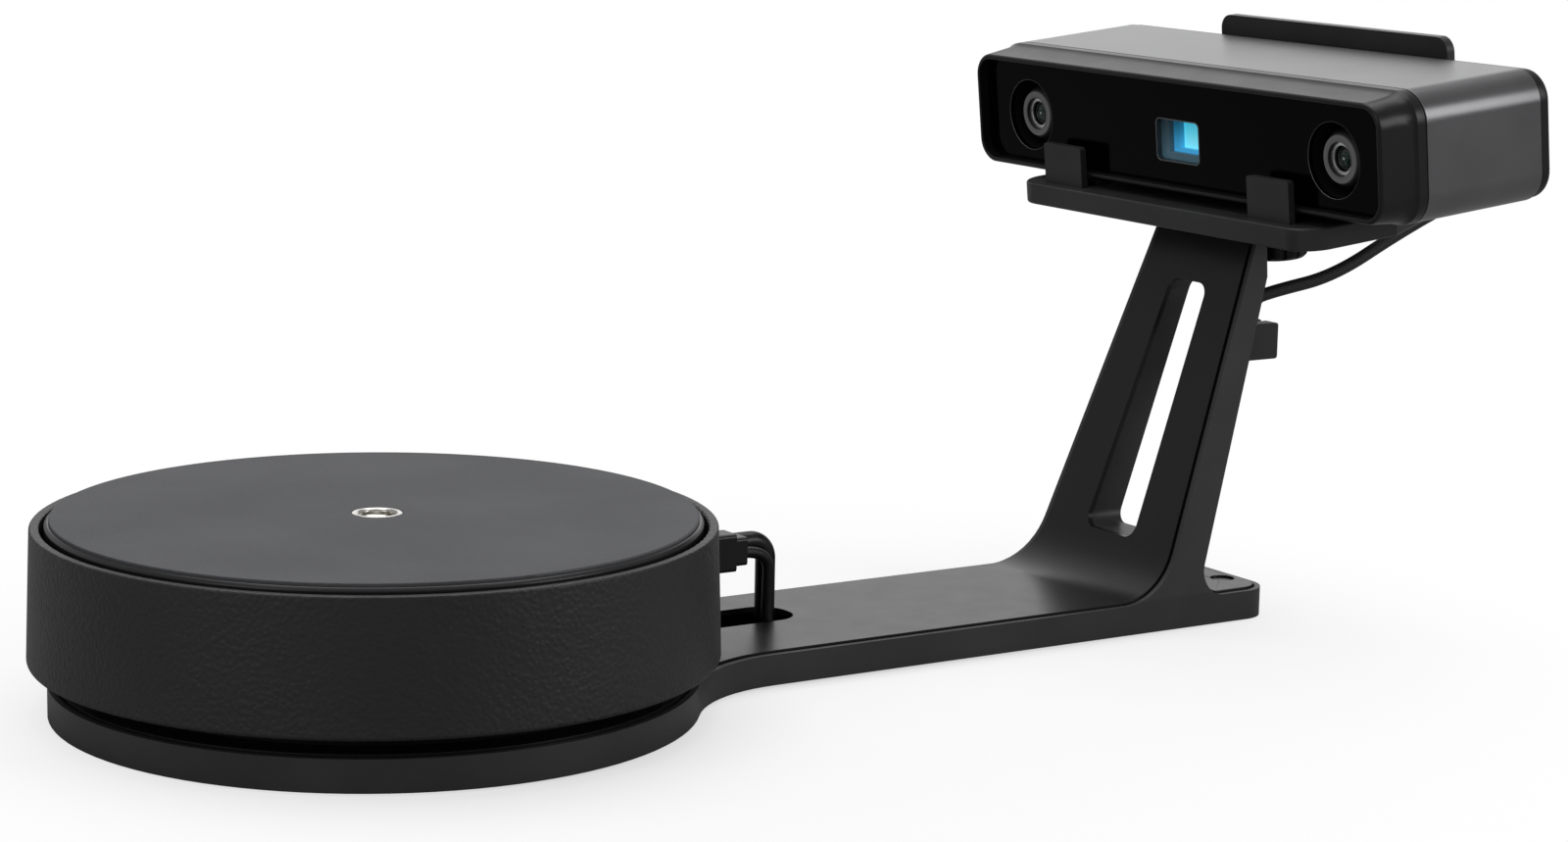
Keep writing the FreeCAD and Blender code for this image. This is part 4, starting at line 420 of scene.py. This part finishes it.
# %% Dress every solid
edge_radius = {
    "stand_body": 0.5, "stand_skin": 0.35, "rear_flange_cover": 0.3, "cable_clip": 0.5, "drum_shell": 0.25,
    "drum_floor": 0.3, "platter": 0.25, "platter_mat": 0.2, "threaded_insert": 0.15, "data_plug": 0.3,
    "power_plug": 0.3, "front_bezel": 0.25, "front_window": 0.12, "head_shell": 0.2, "rear_cap": 0.25,
    "cradle_plate": 0.2, "front_prongs": 0.4, "clamp_jaw": 0.5, "jaw_pad": 0.3, "clamp_knob": 0.35,
    "head_gland": 0.3, "camera_hoods": 0.1, "camera_barrels": 0.12, "camera_rings": 0.1,
    "projector_frame": 0.12, "projector_light_guide": 0.35, "rubber_feet": 0.2,
}


SEAM_GAP = 0.000002


def soften(piece, radius, angle=28.0, segments=2):
    weld = piece.modifiers.new("close_seams", "WELD")
    weld.merge_threshold = SEAM_GAP
    bevel = piece.modifiers.new("round_edges", "BEVEL")
    bevel.width = radius * MM
    bevel.segments = segments
    bevel.limit_method = "ANGLE"
    bevel.angle_limit = math.radians(angle)
    bevel.use_clamp_overlap = True
    bevel.miter_outer = "MITER_ARC"
    normals = piece.modifiers.new("flat_flats", "WEIGHTED_NORMAL")
    normals.keep_sharp = False
    normals.weight = 80


slot_of = {entry["node"]: entry["material_slot"] for entry in frame["record"]["subparts"]}
slot_of.update(camera_rings="ring_silver", drum_screws="inner_black", flange_recess_plugs="stand_inset")
for name, solid in nodes.items():
    solid.data.materials.clear()
    solid.data.materials.append(finishes[slot_of[name]].material)
    if name in edge_radius:
        soften(solid, edge_radius[name])
print("dressed", len(nodes), "solids,", len(edge_radius), "of them with softened edges")

# %% [markdown]
# ## Making a mesh piece
# The added pieces are built point by point with bmesh. `piece` turns points and faces into an object, gives
# it a finish and a slot, and lets it ride on its body.

# %% Piece maker
def piece(name, points, faces, finish, body, smooth=True):
    mesh = bpy.data.meshes.new(name)
    mesh.from_pydata([tuple(p) for p in points], [], faces)
    mesh.validate()
    shape = bmesh.new()
    shape.from_mesh(mesh)
    bmesh.ops.recalc_face_normals(shape, faces=shape.faces)
    shape.to_mesh(mesh)
    shape.free()
    for face in mesh.polygons:
        face.use_smooth = smooth
    made = bpy.data.objects.new(name, mesh)
    bpy.context.scene.collection.objects.link(made)
    mesh.materials.append(finishes[finish].material)
    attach(made, body)
    return made


def rings_to_faces(count, around, closed_ends=False):
    """Faces between rings of points that lie one after another."""
    faces = []
    for i in range(count - 1):
        for j in range(around):
            k = (j + 1) % around
            faces.append((i * around + j, i * around + k, (i + 1) * around + k, (i + 1) * around + j))
    if closed_ends:
        faces.append(tuple(reversed(range(around))))
        faces.append(tuple((count - 1) * around + j for j in range(around)))
    return faces


print("piece maker is ready")

# %% [markdown]
# ## The thread in the platter's insert
# Holding jigs screw into the bright insert in the middle of the platter. Looking down into it one sees the
# first turns of the thread. A cut thread is one ridge wound as a helix, so its four-cornered section is
# carried round and up, a little at a time.

# %% Insert thread
PITCH, TURNS, STEPS = 1.25, 9, 40
THREAD_OUTER, THREAD_INNER, THREAD_TOP = 5.55, 4.95, 57.9
points = []
for i in range(TURNS * STEPS + 1):
    turn = 2 * math.pi * i / STEPS
    z = THREAD_TOP - PITCH * (TURNS - i / STEPS) - PITCH * 0.5
    fade = min(1.0, (TURNS * STEPS - i) / STEPS * 2, i / STEPS * 2)
    inner = THREAD_OUTER - (THREAD_OUTER - THREAD_INNER) * fade
    for radius, rise in ((THREAD_OUTER, -0.5), (inner, -0.08), (inner, 0.08), (THREAD_OUTER, 0.5)):
        points.append(Vector((radius * math.cos(turn), radius * math.sin(turn), z + rise * PITCH)) * MM)
piece("insert_thread", points, rings_to_faces(TURNS * STEPS + 1, 4, True), "nickel", "platter",
      smooth=False)
print("thread:", TURNS, "turns of", PITCH, "mm")

# %% [markdown]
# ## Leads
# A lead is a soft tube, so its line has to be smooth. A NURBS curve of order 3 takes the route's points as
# control points and rounds every corner by itself. The head's lead has a braided sleeve: two families of
# threads that wind round it in opposite ways, over and under each other. The sleeve is a swept tube with
# its own lengthwise and roundwise coordinates, and the braid is drawn with them.

# %% Line of a lead
def lead_line(name, route):
    curve = bpy.data.curves.new(name, "CURVE")
    curve.dimensions = "3D"
    curve.resolution_u = 16
    spline = curve.splines.new("NURBS")
    spline.points.add(len(route) - 1)
    for point, place in zip(spline.points, route):
        point.co = (*[c * MM for c in place], 1)
    spline.order_u = 3
    spline.use_endpoint_u = True
    holder = bpy.data.objects.new(name, curve)
    bpy.context.scene.collection.objects.link(holder)
    bpy.context.view_layer.update()
    line = bpy.data.meshes.new_from_object(holder)
    centre = [v.co.copy() for v in line.vertices]
    bpy.data.objects.remove(holder)
    return centre


def sleeve(name, centre, radius, finish, around=20, body="stand"):
    """A tube swept along a line of points, with lengthwise and roundwise coordinates."""
    points, lengths = [], []
    side = (centre[1] - centre[0]).cross(Vector((0.3, 1, 0.2))).normalized()
    run = 0.0
    for i, here in enumerate(centre):
        ahead = (centre[min(i + 1, len(centre) - 1)] - centre[max(i - 1, 0)]).normalized()
        side = (side - ahead * side.dot(ahead)).normalized()
        other = ahead.cross(side)
        run += (here - centre[i - 1]).length if i else 0.0
        lengths.append(run)
        for j in range(around):
            turn = 2 * math.pi * j / around
            points.append(here + (side * math.cos(turn) + other * math.sin(turn)) * radius)
    made = piece(name, points, rings_to_faces(len(centre), around, True), finish, body)
    layer = made.data.uv_layers.new(name="along_and_round")
    for face in made.data.polygons:
        corners = [made.data.loops[k].vertex_index for k in face.loop_indices]
        wraps = {v % around for v in corners} >= {0, around - 1}
        for k, v in zip(face.loop_indices, corners):
            share = (v % around) / around
            layer.data[k].uv = (lengths[v // around], 1.0 if wraps and share == 0 else share)
    return made, run


print("sleeves can be swept")

# %% The three leads
def braided(name, shade, threads=9, pitch=0.0075):
    made = Finish(name)
    split = made.node("ShaderNodeSeparateXYZ", {}, {0: made.node("ShaderNodeTexCoord", out="UV")})
    along = Wire(made, split.socket.node.outputs[0]) / pitch
    round_ = Wire(made, split.socket.node.outputs[1])
    turn = 2 * math.pi * threads
    left = made.node("ShaderNodeMath", {"operation": "SINE"}, {0: (round_ + along) * turn})
    right_ = made.node("ShaderNodeMath", {"operation": "SINE"}, {0: (round_ - along) * turn})
    weave = 0.5 + left * right_ * 0.5
    made.set(Base_Color=made.blend(weave, tuple(c * 0.35 for c in shade), tuple(c * 2.4 for c in shade)))
    made.set(Roughness=0.62 - weave * 0.15, Specular_IOR_Level=0.4, Normal=made.raised(weave, 0.0001))
    finishes[name] = made
    return made


routes = {
    "data_lead": (1.8, [(125.8, -0.5, 33.9), (136.0, -0.5, 33.9), (136.3, 0.3, 21.0), (136.0, 0.7, 5.6),
                        (160.0, 0.3, 5.6), (190.0, 4.0, 5.6), (221.0, 3.5, 5.6), (240.0, 3.5, 5.6)]),
    "power_lead": (1.8, [(141.1, 9.5, 14.0), (141.1, 9.5, 5.6), (153.1, 9.5, 5.6), (174.1, 12.0, 5.6),
                         (207.0, 13.5, 5.6), (222.0, 13.0, 5.6), (240.0, 13.0, 5.6)]),
    "head_lead": (2.15, [(366.9, -38.0, 166.5), (381.8, -38.0, 168.0), (395.9, -37.0, 154.0),
                         (387.9, -35.5, 136.5), (363.0, -33.0, 125.5), (340.0, -27.5, 111.6),
                         (321.0, -20.0, 106.8), (312.2, -18.0, 104.0), (303.9, -18.0, 77.7),
                         (297.3, -18.0, 50.0), (279.3, -18.0, 31.0), (273.2, -18.0, 20.0),
                         (273.2, -18.0, 8.2)]),
}
braided("lead_braid", (0.013, 0.013, 0.014))
for name, (radius, route) in routes.items():
    made, run = sleeve(name + "_sleeve", lead_line(name + "_line", route), radius * MM, "lead_black")
    if name == "head_lead":
        made.data.materials[0] = finishes["lead_braid"].material
    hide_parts(name)
    print(name, "is", round(run / MM), "mm long")

# %% [markdown]
# ## Screws with a hexagon drive
# The cap behind the head and the cable clip are held by screws. From behind one sees their domed heads and
# the six-sided holes of the drive. The head is a set of rings: round outside, and pulled onto a hexagon at
# the mouth and floor of the hole.

# %% Screws
def hexagon(radius, turn):
    """Distance from the middle to a hexagon's side, in the direction of turn."""
    return radius * math.cos(math.pi / 6) / math.cos((turn + math.pi / 6) % (math.pi / 3) - math.pi / 6)


def screws(name, replaced, seats, head, height, shank, length, drive, finish="steel", body="stand"):
    """Several screws in one piece. A seat is the middle of the head's top and the way it faces."""
    points, faces, around = [], [], 36
    profile = [(shank, -length), (shank, -height), (head, -height), (head, -height * 0.25),
               (head * 0.93, -height * 0.06), (head * 0.84, 0.0), ("hex", 0.0), ("hex", -height * 0.55),
               (0.02, -height * 0.62)]
    for seat, facing in seats:
        spin = Vector((0, 0, 1)).rotation_difference(facing).to_matrix()
        first = len(points)
        for radius, level in profile:
            for j in range(around):
                turn = 2 * math.pi * j / around
                reach = hexagon(drive, turn) if radius == "hex" else radius
                place = Vector((reach * math.cos(turn), reach * math.sin(turn), level))
                points.append((seat + spin @ place) * MM)
        for face in rings_to_faces(len(profile), around, True):
            faces.append(tuple(v + first for v in face))
    made = piece(name, points, faces, finish, body, smooth=False)
    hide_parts(replaced)
    return made


def in_head(depth_mm, side_mm, rise_mm):
    """A place in the head's own frame, in millimetres of the whole frame."""
    return head_middle / MM + head_back * depth_mm + Vector((0, side_mm, 0)) + head_up * rise_mm


CAP_DEPTH, CAP_SIDE, CAP_RISE = 70.0, 98.6, 13.2
CLIP_SEAT = Vector((320.7, -13.6, 90.99))
cap_seats = [(in_head(CAP_DEPTH, side * CAP_SIDE, rise * CAP_RISE), head_back)
             for side in (-1, 1) for rise in (-1, 1)]
screws("rear_cap_screws", "cap_screws", cap_seats, 2.9, 0.8, 1.5, 6.0, 1.25)
screws("clip_fixing_screw", "clip_screw", [(CLIP_SEAT, Vector((1, 0, 0)))],
       2.25, 1.6, 1.5, 18.5, 1.0)
print("screws: four in the rear cap, one in the clip")

# %% [markdown]
# ## Bright lines in the black front
# Where the camera holes are cut through the black window, the polished edge catches the light as a
# hair-thin line. Each is a slim ring with a rounded section, set into the cut edge.

# %% Camera rims
def rim(name, depth_mm, side_mm, rise_mm, radius, section, finish, around=72, section_points=8):
    points = []
    for i in range(around):
        turn = 2 * math.pi * i / around
        for j in range(section_points):
            bend = 2 * math.pi * j / section_points
            reach = radius + section * math.cos(bend)
            points.append(in_head(depth_mm + section * math.sin(bend), side_mm + reach * math.cos(turn),
                                  rise_mm + reach * math.sin(turn)) * MM)
    faces = []
    for i in range(around):
        for j in range(section_points):
            k, m = (i + 1) % around, (j + 1) % section_points
            faces.append((i * section_points + j, k * section_points + j, k * section_points + m,
                          i * section_points + m))
    return piece(name, points, faces, finish, "stand")


APERTURE_DEPTH, APERTURE_RADIUS, APERTURE_SECTION = 3.95, 12.28, 0.14
GLASS_DEPTH, GLASS_RADIUS, GLASS_SECTION = 8.75, 3.36, 0.10
# Each grey ring is a painted highlight: it stands for the hair-thin line of light on a cut edge of the black
# front.
for label, side in (("near", -1), ("far", 1)):
    rim(label + "_aperture_painted_highlight", APERTURE_DEPTH, side * LENS_SIDE, LENS_RISE, APERTURE_RADIUS,
        APERTURE_SECTION, "frame_grey")
    rim(label + "_glass_painted_highlight", GLASS_DEPTH, side * LENS_SIDE, LENS_RISE, GLASS_RADIUS, GLASS_SECTION,
        "frame_grey")
print("rims round both cameras")

# %% [markdown]
# ## Floor, background and light
# The photograph is a cut-out on white with a faint shadow under the base. The floor is pale and keeps that
# shadow; towards its far end, and in the world behind it, camera rays simply meet white. To all other rays
# the floor is a middle grey, so that the black window doesn't mirror a white sheet. The machine itself is
# lit at a plain level: soft daylight from all round, one broad lamp above, and weaker ones at the sides and
# behind.

# %% Floor
floor_mesh = bpy.data.meshes.new("floor")
REACH = 6.0
floor_mesh.from_pydata([(-REACH, -REACH, 0), (REACH, -REACH, 0), (REACH, REACH, 0), (-REACH, REACH, 0)], [],
                       [(0, 1, 2, 3)])
floor = bpy.data.objects.new("floor", floor_mesh)
bpy.context.scene.collection.objects.link(floor)
paper = Finish("floor_paper")
fibre = paper.clouds(0.02, detail=4.0)
paper.set(Base_Color=paper.blend(fibre, (0.91, 0.91, 0.91), (0.94, 0.94, 0.94)), Roughness=0.8 + fibre * 0.1,
          Specular_IOR_Level=0.1)
seen = paper.node("ShaderNodeLightPath", out="Is Camera Ray")
grey = paper.node("ShaderNodeBsdfDiffuse", {}, {"Color": (0.34, 0.34, 0.34, 1)}, out="BSDF")
near = paper.node("ShaderNodeMixShader", {}, {0: seen, 1: grey, 2: Wire(paper, paper.shader.outputs[0])},
                  out="Shader")
offset = paper.node("ShaderNodeVectorMath", {"operation": "DISTANCE"}, {0: paper.place(), 1: (0.1, 0.0, 0.0)},
                    out="Value")
far = paper.node("ShaderNodeMapRange", {"interpolation_type": "SMOOTHSTEP"},
                 {"Value": offset, "From Min": 0.10, "From Max": 0.33, "To Min": 0.62, "To Max": 1.0})
white = paper.node("ShaderNodeEmission", {}, {"Color": (1, 1, 1, 1), "Strength": 1.0}, out="Emission")
mixed = paper.node("ShaderNodeMixShader", {}, {0: far * seen, 1: near, 2: white}, out="Shader")
paper.fill(paper.output, {"Surface": mixed})
floor_mesh.materials.append(paper.material)
print("floor is", 2 * REACH, "m wide")

# %% World and lamps
world = bpy.data.worlds.new("studio")
bpy.context.scene.world = world
world.use_nodes = True
studio = Finish.__new__(Finish)
studio.tree = world.node_tree
background = world.node_tree.nodes["Background"]
looked_at = studio.node("ShaderNodeLightPath", out="Is Camera Ray")
studio.fill(background, {"Color": (1, 1, 1, 1), "Strength": 0.36 + looked_at * 0.64})


def softbox(name, place, aim, width, height, power):
    lamp = bpy.data.lights.new(name, "AREA")
    lamp.shape = "RECTANGLE"
    lamp.size = width
    lamp.size_y = height
    lamp.energy = power
    made = bpy.data.objects.new(name, lamp)
    bpy.context.scene.collection.objects.link(made)
    made.location = place
    made.rotation_euler = (Vector(aim) - Vector(place)).to_track_quat("-Z", "Y").to_euler()
    return made


softbox("lamp_above", (0.25, 0.35, 1.5), (0.12, 0.0, 0.05), 1.6, 1.2, 15.0)
softbox("lamp_left", (-1.5, -0.5, 0.8), (0.05, 0.0, 0.08), 0.9, 1.2, 4.0)
softbox("lamp_right", (0.95, -1.15, 0.60), (0.32, -0.05, 0.12), 0.6, 0.6, 5.0)
softbox("lamp_behind", (1.2, 1.9, 0.9), (0.15, 0.0, 0.05), 2.0, 1.2, 6.0)
bpy.context.scene.view_settings.view_transform = "Standard"
